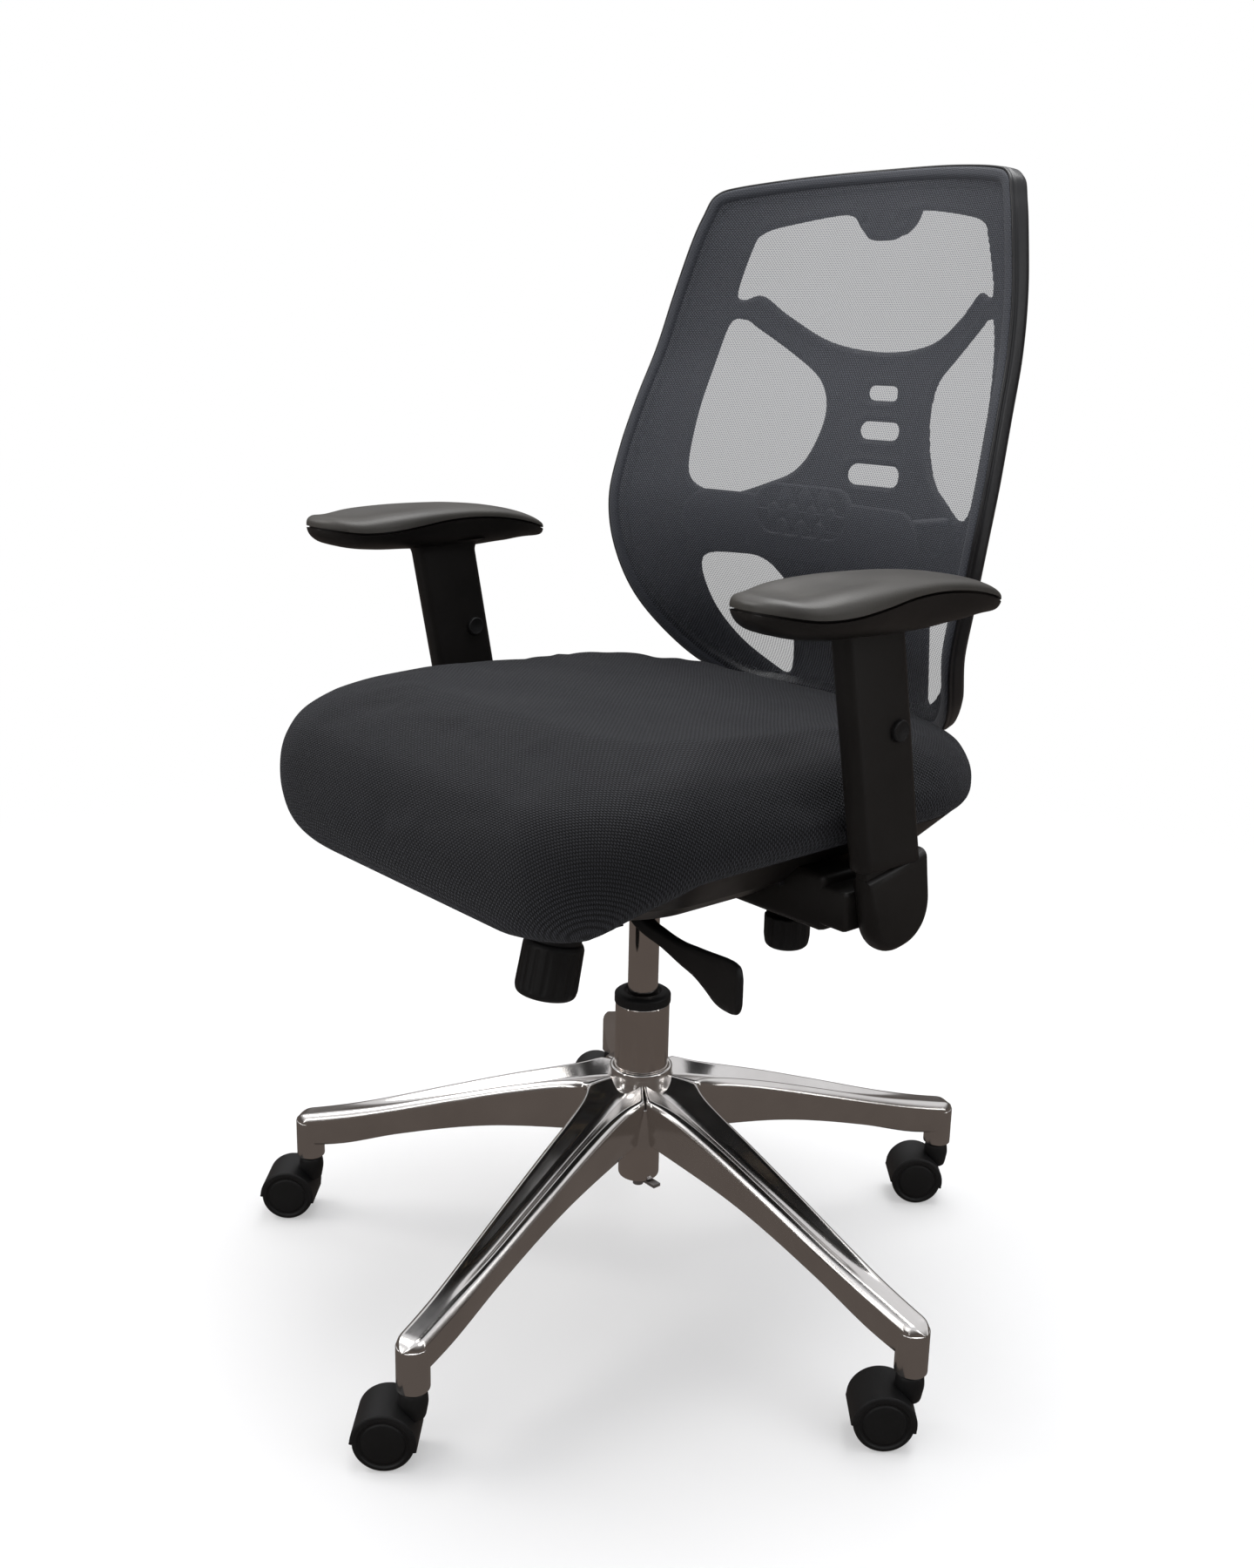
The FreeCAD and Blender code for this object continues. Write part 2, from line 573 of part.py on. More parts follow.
def shell_loft(sections, wall, lifts):
    """Bowl through rounded sections, each moved in by a wall and lifted."""
    wires = []
    for (z, side, front, rear, corner), lift in zip(sections, lifts):
        wires.append(rounded_wire(SEAT_HALF - side - wall, SEAT_FRONT_Y + front + wall,
                                  SEAT_REAR_Y - rear - wall, SEAT_CORNER_R - corner - wall, z + lift))
    return Part.makeLoft(wires, True, True)


def seat():
    lip_z = SEAT_BASE_Z + UNDERSIDE[0][1]
    height = SEAT_CROWN_Z - lip_z
    wires = []
    for share, side, front, rear, corner in CUSHION_SECTIONS:
        wires.append(rounded_wire(SEAT_HALF - side, SEAT_FRONT_Y + front, SEAT_REAR_Y - rear,
                                  SEAT_CORNER_R - corner, lip_z + share * height))
    cushion = Part.makeLoft(wires, True, True)
    wide = (-SEAT_HALF - 10, SEAT_HALF + 10)
    below = underside_points(GAP)
    far = SEAT_REAR_Y + 20
    hollow = side_prism(
        [(below[0][0], lip_z - 30)] + below + [(far, SEAT_BASE_Z + GAP), (far, lip_z - 30)], wide)
    nodes["seat_cushion"] = tidy(cushion.cut(hollow))

    curve = underside_points(0)
    board = side_prism(
        [(-190.0, SEAT_BASE_Z - 17.5)] + curve[2:] + [(SEAT_REAR_Y - 22, SEAT_BASE_Z)]
        + [(SEAT_REAR_Y - 22, SEAT_BASE_Z - BOARD_T)] + [(y, z - BOARD_T) for y, z in reversed(curve[2:])]
        + [(-190.0, SEAT_BASE_Z - 17.5 - BOARD_T)], wide)
    plan = Part.Face(rounded_wire(SEAT_HALF - 27, SEAT_FRONT_Y + 38, SEAT_REAR_Y - 22, 100, SHELL_BOTTOM_Z))
    board = board.common(plan.extrude(V(0, 0, 100)))

    shell_sections = [(SHELL_BOTTOM_Z, 83.0, 80.0, 70.0, 40.0), (446.0, 46.0, 43.0, 32.0, 17.0),
                      (SEAT_BASE_Z, 15.0, 22.0, 10.0, 5.0)]
    outer = shell_loft(shell_sections, 0, [0, 0, 0])
    inner = shell_loft(shell_sections, SHELL_WALL, [SHELL_WALL, 0, 1])
    board = board.common(inner)
    shell = outer.cut(inner)
    over = side_prism([(-300, curve[0][1])] + curve + [(far, SEAT_BASE_Z), (far, 600), (-300, 600)], wide)
    shell = shell.cut(over)
    shell = shell.cut(box((-100, 100), (-154, 142), (SHELL_BOTTOM_Z - 5, SHELL_BOTTOM_Z + 12)))
    arm_notch = (BAR_Y[0] - 7, BAR_Y[1] + 7)
    for side in (-1, 1):
        reach = sorted((side * 90, side * 260))
        shell = shell.cut(box(reach, arm_notch, (SHELL_BOTTOM_Z - 5, BLOCK_Z[1] + 4)))
    nodes["seat_shell"] = tidy(shell)

    top = SEAT_BASE_Z - BOARD_T
    plate = box((-CARRIER_HALF, CARRIER_HALF), (-136, 150), (top - CARRIER_T, top))
    wing_y = (BAR_Y[0] - SLIDE - CARRIER_T, BAR_Y[1] + SLIDE + CARRIER_T)
    plate = plate.fuse(box((-205, 205), wing_y, (top - CARRIER_T, top)))
    for side in (-1, 1):
        reach = sorted((side * (CARRIER_HALF + 6), side * 200))
        for y in (wing_y[0], wing_y[1] - CARRIER_T):
            plate = plate.fuse(box(reach, (y, y + CARRIER_T), (BAR_Z[1] - 10, top - CARRIER_T)))
    pivot_y, pivot_z = SEAT_PIVOT
    for side in (-1, 1):
        inner_x = side * (HOUSING_HALF + GAP)
        outer_x = side * (HOUSING_HALF + GAP + LUG_T)
        span = sorted((inner_x, outer_x))
        plate = plate.fuse(box(span, (pivot_y - LUG_R, pivot_y + LUG_R), (pivot_z, top - CARRIER_T)))
        plate = plate.fuse(cyl(LUG_R, V(inner_x, pivot_y, pivot_z), V(outer_x, pivot_y, pivot_z)))
    plate = plate.cut(cyl(PIVOT_R + RUN, V(-100, pivot_y, pivot_z), V(100, pivot_y, pivot_z)))
    bolts = []
    for x, y in bolt_places():
        shank = cyl(3, V(x, y, top - CARRIER_T), V(x, y, SEAT_BASE_Z - 2))
        plate = plate.cut(shank)
        board = board.cut(shank)
        bolts.append(cyl(6, V(x, y, top - CARRIER_T - 4), V(x, y, top - CARRIER_T)).fuse(shank))
    nodes["seat_carrier"] = tidy(plate)
    nodes["seat_board"] = tidy(board)
    nodes["seat_bolts"] = Part.makeCompound(bolts)


# ---------------------------------------------------------------- arms
def leaned(shape):
    """The upright's own straight frame leaned forward about its foot."""
    result = shape.copy()
    result.rotate(V(0, *ARM_FOOT), X_AXIS, ARM_LEAN_DEG)
    return result


def upright(middle_x, thick, wide, z, radius):
    """Rounded bar of the upright, before it is leaned."""
    return rounded_box((middle_x - thick / 2, middle_x + thick / 2),
                       (ARM_FOOT[0] - wide / 2, ARM_FOOT[0] + wide / 2), z, radius)


def pad_solid(middle_x):
    """Pad lofted through eight-sided sections along Y."""
    wires = []
    for y, half, seam, rise, depth in PAD_STATIONS:
        shape = [(1.0, 0.0), (0.82, 0.72), (0.4, 1.0), (-0.4, 1.0), (-0.82, 0.72), (-1.0, 0.0)]
        points = [V(middle_x + half * a, y, seam + rise * b) for a, b in shape]
        points += [V(middle_x - half * 0.62, y, seam - depth * 0.85),
                   V(middle_x + half * 0.62, y, seam - depth * 0.85)]
        points.append(points[0])
        wires.append(Part.makePolygon(points))
    return Part.makeLoft(wires, True, True)


def arm_bracket(side):
    """Slide bar, its clamp block, the foot of the upright and the post inside the sleeve."""
    middle_x = side * ARM_X
    centre_z = ARM_BOTTOM_Z + 8 + ARM_WIDE / 2
    round_foot = cyl(ARM_WIDE / 2 + 8, V(middle_x - 40, ARM_FOOT[0], centre_z),
                     V(middle_x + 40, ARM_FOOT[0], centre_z))
    above_foot = box((middle_x - 60, middle_x + 60), (-80, 90), (centre_z, ARM_SEAM_Z + 20))
    foot = upright(middle_x, ARM_THICK, ARM_WIDE + 2, (ARM_BOTTOM_Z - 2, ARM_SEAM_Z), 9)
    foot = foot.common(round_foot.fuse(above_foot))
    post_thick = ARM_THICK - 2 * SLEEVE_WALL - 2 * SLIDE
    post_wide = ARM_WIDE - 2 * SLEEVE_WALL - 2 * SLIDE
    post = upright(middle_x, post_thick, post_wide, (ARM_SEAM_Z - 10, POST_TOP_Z), 3)
    face_x = middle_x + post_thick / 2
    button_y = ARM_FOOT[0] + BUTTON_OFFSET
    groove = box((face_x - BUTTON_TRAVEL - 2, face_x + 5), (button_y - BUTTON_R - 2, button_y + BUTTON_R + 2),
                 (BUTTON_Z - 14, POST_TOP_Z + 5))
    bracket = leaned(foot.fuse(post.cut(groove)))
    bar_x = sorted((side * BAR_INNER_X, side * (ARM_X - ARM_THICK / 2 + 2)))
    bracket = bracket.fuse(box(bar_x, BAR_Y, BAR_Z))
    block_x = sorted((side * BLOCK_X[0], side * BLOCK_X[1]))
    bracket = bracket.fuse(rounded_box(block_x, BAR_Y, BLOCK_Z, 6))
    knob_x = side * ARM_KNOB_AT[0]
    knob_y = ARM_KNOB_AT[1]
    bore = cyl(ARM_SPINDLE_R + RUN, V(knob_x, knob_y, BLOCK_Z[0] - 5), V(knob_x, knob_y, BLOCK_Z[1] + 5))
    return tidy(bracket.cut(bore))


def arm_sleeve(side, pad):
    """Outer tube of the upright, closed at the top under the pad."""
    middle_x = side * ARM_X
    low = ARM_SEAM_Z + GAP
    cavity_thick = ARM_THICK - 2 * SLEEVE_WALL
    cavity_wide = ARM_WIDE - 2 * SLEEVE_WALL
    sleeve = upright(middle_x, ARM_THICK, ARM_WIDE, (low, ARM_SLEEVE_TOP_Z + 20), 8)
    sleeve = sleeve.cut(upright(middle_x, cavity_thick, cavity_wide, (low - 1, ARM_SLEEVE_TOP_Z - 20), 3.5))
    button_y = ARM_FOOT[0] + BUTTON_OFFSET
    button_hole = cyl(BUTTON_R + RUN, V(middle_x, button_y, BUTTON_Z), V(middle_x + 30, button_y, BUTTON_Z))
    sleeve = sleeve.cut(button_hole)
    over = box((middle_x - 85, middle_x + 85), (-250, 150), (ARM_SLEEVE_TOP_Z + 8, ARM_SLEEVE_TOP_Z + 150))
    sleeve = leaned(sleeve).cut(over).cut(pad)
    return max(sleeve.Solids, key=lambda s: s.Volume)


def arm_button(side):
    """Height button on the +X face of the upright."""
    inner_x = side * ARM_X + ARM_THICK / 2 - SLEEVE_WALL - 1.0
    length = SLEEVE_WALL + 1.0 + BUTTON_PROUD
    profile = [(0, 0), (BUTTON_R, 0), (BUTTON_R, length - 1.5), (BUTTON_R - 1.5, length), (0, length)]
    return leaned(turned(profile, V(inner_x, ARM_FOOT[0] + BUTTON_OFFSET, BUTTON_Z), X_AXIS))


def arm_knob(side):
    """Clamp knob for the width, with its spindle through the block."""
    low_z, high_z = ARM_KNOB_Z
    spindle_z = BLOCK_Z[0] - GAP
    centre = V(side * ARM_KNOB_AT[0], ARM_KNOB_AT[1], 0)
    knob = turned([(0, low_z), (ARM_KNOB_R - 3, low_z), (ARM_KNOB_R - 1, low_z + 3), (ARM_KNOB_R, high_z),
                   (12, high_z), (12, spindle_z), (ARM_SPINDLE_R, spindle_z), (ARM_SPINDLE_R, BLOCK_Z[1] - 2),
                   (0, BLOCK_Z[1] - 2)], centre)
    return fluted(knob, ARM_KNOB_R, 12, ARM_KNOB_Z, centre)


def arms():
    """The uprights are the same part on both sides, and only the bar changes hands."""
    for name, side in (("l", 1), ("r", -1)):
        pad = pad_solid(side * (ARM_X + PAD_OUT))
        nodes["arm_bracket_" + name] = arm_bracket(side)
        nodes["arm_sleeve_" + name] = arm_sleeve(side, pad)
        nodes["arm_pad_" + name] = pad
        nodes["arm_button_" + name] = arm_button(side)
        nodes["arm_knob_" + name] = arm_knob(side)


# ---------------------------------------------------------------- back
def bowed_slab(bow_index, shift, thickness):
    """Smooth slab a thickness deep along Y, lofted through bowed sections of the back."""
    wires = []
    over = 24.0
    for section in BACK_SECTIONS:
        z, half, edge_y = section[:3]
        bow = section[bow_index]
        reach = half + over
        end_y = edge_y + bow * (1 - (reach / half) ** 2) + shift
        mid_y = edge_y + bow + shift
        front = Part.Arc(V(-reach, end_y, z), V(0, mid_y, z), V(reach, end_y, z)).toShape()
        rear = Part.Arc(V(reach, end_y + thickness, z), V(0, mid_y + thickness, z),
                        V(-reach, end_y + thickness, z)).toShape()
        right = Part.makeLine(V(reach, end_y, z), V(reach, end_y + thickness, z))
        left = Part.makeLine(V(-reach, end_y + thickness, z), V(-reach, end_y, z))
        wires.append(Part.Wire([front, right, rear, left]))
    return Part.makeLoft(wires, True, False)


MESH_BOW = 3
LATTICE_BOW = 4


def outline_prism(distance):
    return through_back(closed_spline(inset(mirrored(BACK_OUTLINE), distance)))


def slot_prism(z, half_wide, half_high):
    """Prism of a slot with round ends."""
    middle = half_wide - half_high
    body = box((-middle, middle), (0, 420), (z - half_high, z + half_high))
    for side in (-1, 1):
        body = body.fuse(cyl(half_high, V(side * middle, 0, z), V(side * middle, 420, z)))
    return body


def back():
    outer = outline_prism(0)
    rim = bowed_slab(MESH_BOW, GAP, RIM_DEPTH).common(outer.cut(outline_prism(RIM_WIDTH)))
    lattice = bowed_slab(LATTICE_BOW, LATTICE_SHIFT, LATTICE_T).common(outline_prism(LATTICE_INSET))
    lattice = lattice.cut(bowed_slab(MESH_BOW, -RIM_DEPTH, RIM_DEPTH + GAP))
    lattice = lattice.cut(through_back(closed_spline(mirrored(UPPER_WINDOW))))
    for window in (MIDDLE_WINDOW, LOWER_WINDOW):
        prism = through_back(closed_spline(window))
        lattice = lattice.cut(prism).cut(mirror_x(prism))
    for slot in SPINE_SLOTS:
        lattice = lattice.cut(slot_prism(*slot))
    half, low, high = LUMBAR_WINDOW
    lattice = lattice.cut(slot_prism((low + high) / 2, half, (high - low) / 2))
    boss = box((-50, 50), (SPINE_FRONT_Y - 20, SPINE_FRONT_Y), (SPINE_BOTTOM_Z, SPINE_TOP_Z))
    head = box((-34, 34), (HEADREST_FACE_Y - 14, HEADREST_FACE_Y), (HEADREST_Z - 15, HEADREST_Z + 16))
    shell = rim.fuse(lattice).fuse(boss).fuse(head)
    for side in (-1, 1):
        x = side * HEADREST_SPACING / 2
        shell = shell.cut(cyl(HEADREST_HOLE_R, V(x, 240, HEADREST_Z), V(x, 320, HEADREST_Z)))
    bolts = []
    for x in (-BACK_BOLT_X, BACK_BOLT_X):
        for z in BACK_BOLT_Z:
            shank = cyl(3, V(x, SPINE_FRONT_Y - 10, z), V(x, SPINE_FRONT_Y + SPINE_T, z))
            shell = shell.cut(shank)
            head_end = V(x, SPINE_FRONT_Y + SPINE_T + 4, z)
            bolts.append(shank.fuse(cyl(6, V(x, SPINE_FRONT_Y + SPINE_T, z), head_end)))
    nodes["back_shell"] = shell
    nodes["back_bolts"] = Part.makeCompound(bolts)

    ring = outline_prism(RING_INSET).cut(outline_prism(RING_INSET + RING_WIDTH))
    nodes["mesh_ring"] = bowed_slab(MESH_BOW, -4, 4).common(ring)
    inside_ring = outline_prism(RING_INSET + RING_WIDTH + GAP)
    nodes["back_mesh"] = bowed_slab(MESH_BOW, -2.6, MESH_T).common(inside_ring)

    half_wide, half_high = LUMBAR_HALF
    plate_outline = slot_prism(LUMBAR_Z, half_wide, half_high)
    hole = slot_prism(LUMBAR_Z, 56, 21)
    discs = None
    for row in (-1, 0, 1):
        count = 3 if row else 4
        for column_index in range(count):
            x = (column_index - (count - 1) / 2) * LUMBAR_DISC_PITCH
            z = LUMBAR_Z + row * LUMBAR_DISC_PITCH * 0.6
            disc = cyl(LUMBAR_DISC_R, V(x, 0, z), V(x, 420, z))
            discs = disc if discs is None else discs.fuse(disc)
    for z in (LUMBAR_Z - LUMBAR_DISC_PITCH * 0.6, LUMBAR_Z, LUMBAR_Z + LUMBAR_DISC_PITCH * 0.6):
        discs = discs.fuse(box((-60, 60), (0, 420), (z - 1, z + 1)))
    for column_index in range(5):
        x = (column_index - 2) * LUMBAR_DISC_PITCH / 2
        discs = discs.fuse(box((x - 1, x + 1), (0, 420), (LUMBAR_Z - 25, LUMBAR_Z + 25)))
    layer = bowed_slab(MESH_BOW, LUMBAR_SHIFT, LUMBAR_T)
    plate = layer.common(plate_outline.cut(hole).fuse(discs.common(hole)))
    for side in (-1, 1):
        x = side * LUMBAR_POST_X
        post = cyl(5, V(x, 167, LUMBAR_Z), V(x, 290, LUMBAR_Z)).cut(shell)
        plate = plate.fuse(min(post.Solids, key=lambda s: s.CenterOfMass.y))
    nodes["lumbar_pad"] = plate

    back_bracket(bolts)


def back_bracket(bolts):
    """Yoke from the rear pivot, under the seat and up behind it to the spine of the back."""
    low, high = YOKE_Z
    thick = SPINE_T
    rear_y = SPINE_FRONT_Y + thick
    inner_r = 44.0
    outer_r = inner_r + thick
    centre = V(0, SPINE_FRONT_Y - inner_r, low + 4 + outer_r)
    arm_low = centre.z - outer_r
    bend = cyl(outer_r, V(-SPINE_HALF, centre.y, centre.z), V(SPINE_HALF, centre.y, centre.z))
    bend = bend.cut(cyl(inner_r, V(-100, centre.y, centre.z), V(100, centre.y, centre.z)))
    bend = bend.common(box((-SPINE_HALF, SPINE_HALF), (centre.y, rear_y), (arm_low, centre.z)))
    spine = box((-SPINE_HALF, SPINE_HALF), (SPINE_FRONT_Y, rear_y), (centre.z, SPINE_TOP_Z))
    plan = Part.makePolygon([
        V(-HOUSING_HALF - GAP - 8, 96, arm_low), V(HOUSING_HALF + GAP + 8, 96, arm_low),
        V(HOUSING_HALF + GAP + 8, 130, arm_low), V(SPINE_HALF, centre.y - 20, arm_low),
        V(SPINE_HALF, centre.y, arm_low), V(-SPINE_HALF, centre.y, arm_low),
        V(-SPINE_HALF, centre.y - 20, arm_low), V(-HOUSING_HALF - GAP - 8, 130, arm_low),
        V(-HOUSING_HALF - GAP - 8, 96, arm_low),
    ])
    tongue = Part.Face(plan).extrude(V(0, 0, thick))
    bracket = bend.fuse(spine).fuse(tongue)
    pivot_y, pivot_z = BACK_PIVOT
    rib = 6.0
    for side in (-1, 1):
        inner_x = side * (HOUSING_HALF + GAP)
        outer_x = side * (HOUSING_HALF + GAP + 8)
        span = sorted((inner_x, outer_x))
        bracket = bracket.fuse(box(span, (pivot_y, 124), (low, high)))
        bracket = bracket.fuse(cyl(LUG_R - 2, V(inner_x, pivot_y, pivot_z), V(outer_x, pivot_y, pivot_z)))
        rib_x = sorted((side * (SPINE_HALF - rib), side * SPINE_HALF))
        bracket = bracket.fuse(box(rib_x, (rear_y - 2, rear_y + 8), (centre.z, SPINE_TOP_Z - 90)))
    bracket = bracket.cut(cyl(PIVOT_R + RUN, V(-100, pivot_y, pivot_z), V(100, pivot_y, pivot_z)))
    for bolt in bolts:
        bracket = bracket.cut(bolt)
    nodes["back_bracket"] = tidy(bracket)


# ---------------------------------------------------------------- casters
def caster():
    """Caster pieces with the stem on the Z axis and the wheels trailing along +X."""
    trail = CASTER_TRAIL
    hub = V(trail, 0, WHEEL_R)
    reach = HOOD_HALF
    hood = cyl(HOOD_R, hub.sub(Y_AXIS * reach), hub.add(Y_AXIS * reach))
    hood = hood.common(box((-20, 80), (-40, 40), (WHEEL_R - 4, 80)))
    boss = cyl(CASTER_BOSS_R, V(0, 0, 36), V(0, 0, CASTER_TOP_Z))
    web = cyl(WHEEL_R - 4, hub.sub(Y_AXIS * WEB_HALF), hub.add(Y_AXIS * WEB_HALF))
    body = hood.fuse(boss)
    clear_r = WHEEL_R + 0.8
    for side in (-1, 1):
        inner = hub.add(Y_AXIS * (side * WEB_HALF))
        outer = hub.add(Y_AXIS * (side * (reach + 5)))
        body = body.cut(cyl(clear_r, inner, outer))
    body = body.fuse(web)
    body = body.cut(cyl(STEM_R, V(0, 0, 42), V(0, 0, CASTER_TOP_Z + 5)))
    body = body.cut(cyl(AXLE_R, hub.sub(Y_AXIS * 30), hub.add(Y_AXIS * 30)))
    axle_half = WEB_HALF + GAP + WHEEL_W - 3
    pieces = {
        "stem": turned([(0, 42), (STEM_R, 42), (STEM_R, CASTER_TOP_Z), (9, CASTER_TOP_Z),
                        (9, SOCKET_BOTTOM_Z - 0.4), (STEM_R, SOCKET_BOTTOM_Z - 0.4), (STEM_R, STEM_TOP_Z - 2),
                        (STEM_R - 2, STEM_TOP_Z), (0, STEM_TOP_Z)]),
        "housing": tidy(body),
        "axle": cyl(AXLE_R, hub.sub(Y_AXIS * axle_half), hub.add(Y_AXIS * axle_half)),
    }
    inner_w = WEB_HALF + GAP
    outer_w = inner_w + WHEEL_W
    profile = [
        (AXLE_R + RUN, inner_w), (WHEEL_R - 2, inner_w), (WHEEL_R, inner_w + 2), (WHEEL_R, outer_w - 3),
        (WHEEL_R - 1, outer_w - 1), (WHEEL_R - 3, outer_w), (WHEEL_R - 5, outer_w),
        (WHEEL_R - 6, outer_w - 1.5),
        (9, outer_w - 1.5), (8, outer_w), (0, outer_w), (0, axle_half + 0.5), (AXLE_R + RUN, axle_half + 0.5),
    ]
    pieces["wheel_a"] = turned(profile, hub, Y_AXIS)
    pieces["wheel_b"] = turned(profile, hub, V(0, -1, 0))
    return pieces


def casters():
    pieces = caster()
    for index in range(LEG_COUNT):
        angle = math.radians(leg_angle(index))
        place = FreeCAD.Placement(V(LEG_CIRCLE_R * math.cos(angle), LEG_CIRCLE_R * math.sin(angle), 0),
                                  FreeCAD.Rotation(Z_AXIS, CASTER_HEADING_DEG))
        for name, shape in pieces.items():
            placed = shape.copy()
            placed.Placement = place.multiply(placed.Placement)
            nodes["caster_%s_%d" % (name, index + 1)] = placed


nodes["base_star"] = base_star()
column()
mechanism()
tension_knob()
height_lever()
tilt_lock_lever()
seat()
arms()
back()
casters()

os.makedirs("parts", exist_ok=True)
for name, shape in nodes.items():
    shape.exportStep("parts/%s.step" % name)
    volume = shape.Volume / 1000
    print("%-20s solids %d  valid %s  %.1f cm3" % (name, len(shape.Solids), shape.isValid(), volume))
print(len(nodes), "nodes")
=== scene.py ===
"""Looks of a swivel office chair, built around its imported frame. Metres, +Z up, -Y is the front of the seat."""

import json
import math

import bmesh
import bpy
import numpy as np
from mathutils import Matrix, Vector


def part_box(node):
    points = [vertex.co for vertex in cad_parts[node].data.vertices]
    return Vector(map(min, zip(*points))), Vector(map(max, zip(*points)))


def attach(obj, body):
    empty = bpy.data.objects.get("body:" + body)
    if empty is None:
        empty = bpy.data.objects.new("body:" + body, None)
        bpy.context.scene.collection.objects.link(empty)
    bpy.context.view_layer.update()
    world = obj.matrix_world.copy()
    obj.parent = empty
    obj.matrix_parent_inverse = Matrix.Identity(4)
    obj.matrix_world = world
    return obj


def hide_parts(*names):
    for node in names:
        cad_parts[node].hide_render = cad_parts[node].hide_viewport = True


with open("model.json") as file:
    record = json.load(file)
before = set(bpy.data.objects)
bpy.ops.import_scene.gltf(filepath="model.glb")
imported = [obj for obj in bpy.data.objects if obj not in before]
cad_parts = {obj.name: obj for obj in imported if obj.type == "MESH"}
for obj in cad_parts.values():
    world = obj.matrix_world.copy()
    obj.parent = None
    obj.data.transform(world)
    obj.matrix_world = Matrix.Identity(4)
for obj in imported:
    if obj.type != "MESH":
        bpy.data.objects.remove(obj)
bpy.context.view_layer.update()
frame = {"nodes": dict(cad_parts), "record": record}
NODES = frame["nodes"]

# ---- camera ----
CAMERA_AZIMUTH = math.radians(48.6)
CAMERA_ELEVATION = math.radians(14.3)
CAMERA_DISTANCE = 1.399
CAMERA_ROLL = math.radians(1.44)
CAMERA_TARGET = Vector((0, 0, 0.5))
LENS = 36.3
LENS_SHIFT = (-0.0139, -0.0189)

# ---- base ----
LEG_COUNT = 5
LEG_LENGTH = 0.335
SOCKET_R = 0.0135
LEG_TOP = [(0.020, 0.196), (0.038, 0.193), (0.115, 0.1745), (0.190, 0.1515), (0.250, 0.1320), (0.300, 0.1170),
           (0.335, 0.1085), (0.350, 0.1055)]
LEG_UNDER = [(0.020, 0.139), (0.056, 0.136), (0.148, 0.125), (0.240, 0.1015), (0.300, 0.082), (0.350, 0.073)]
LEG_HALF = [(0.020, 0.0245), (0.115, 0.0215), (0.220, 0.0172), (0.300, 0.0140), (0.350, 0.0132)]
GROOVE_DEPTH = [(0.020, 0.006), (0.032, 0.0085), (0.045, 0.009), (0.110, 0.0100), (0.190, 0.0080),
                (0.250, 0.0045), (0.292, 0.0006), (0.350, 0.0002)]
# upright fillets that fill the corners between the legs: radius and height from foot to top
FILLET = [(0, 0.138), (0.0090, 0.138), (0.0100, 0.150), (0.0112, 0.168), (0.0112, 0.1795), (0, 0.1815)]
FILLET_CIRCLE_R = 0.037

# ---- casters ----
CASTER_HEADING = math.radians(228.6)
CASTER_TRAIL = 0.021
WHEEL_R = 0.025

# ---- tilt lock lever ----
LOCK_Z = 0.392

# ---- lift lever: x, y, middle height, half depth, half height ----
PADDLE = [
    (0.0460, -0.0720, 0.4085, 0.0085, 0.0045),
    (0.0560, -0.0722, 0.4045, 0.0092, 0.0062),
    (0.0660, -0.0726, 0.3965, 0.0092, 0.0080),
    (0.0760, -0.0738, 0.3885, 0.0088, 0.0075),
    (0.0900, -0.0770, 0.3835, 0.0072, 0.0068),
    (0.1150, -0.0825, 0.3808, 0.0054, 0.0072),
    (0.1450, -0.0900, 0.3787, 0.0045, 0.0098),
    (0.1680, -0.0955, 0.3793, 0.0041, 0.0128),
    (0.1840, -0.0995, 0.3785, 0.0040, 0.0162),
    (0.2000, -0.1033, 0.3772, 0.0039, 0.0202),
    (0.2160, -0.1073, 0.3785, 0.0037, 0.0214),
    (0.2260, -0.1098, 0.3796, 0.0034, 0.0206),
    (0.2320, -0.1112, 0.3800, 0.0030, 0.0178),
    (0.2345, -0.1118, 0.3800, 0.0018, 0.0138),
]
# beyond its neck the blade stands this much further out and higher than the rows
PADDLE_OUT, PADDLE_UP = 0.004, 0.002

# ---- seat ----
SEAT_FRONT_ROUND, SEAT_REAR_ROUND = 0.100, 0.128
SEAT_HALF = 0.251
SEAT_FRONT = -0.265
SEAT_REAR = 0.220
SEAT_CROWN = 0.560
SEAT_REAR_DROP = 0.016
SEAT_EDGE_TUCK = 0.016
SEAT_UNDER = [(-0.270, 0.4240), (-0.240, 0.4250), (-0.216, 0.4465), (-0.180, 0.4665), (-0.142, 0.4783),
              (-0.100, 0.4785), (0.240, 0.4785)]
# share of the height over the front lip, then how far sides, front, rear and corner radius fall short
CUSHION_TABLE = [
    (0.000, 0.034, 0.013, 0.024, 0.012),
    (0.118, 0.018, 0.005, 0.015, 0.006),
    (0.300, 0.005, 0.000, 0.006, 0.002),
    (0.485, 0.000, 0.000, 0.000, 0.000),
    (0.670, 0.004, 0.006, 0.004, 0.003),
    (0.838, 0.017, 0.026, 0.024, 0.011),
    (0.941, 0.040, 0.060, 0.056, 0.022),
    (1.000, 0.078, 0.108, 0.100, 0.038),
]

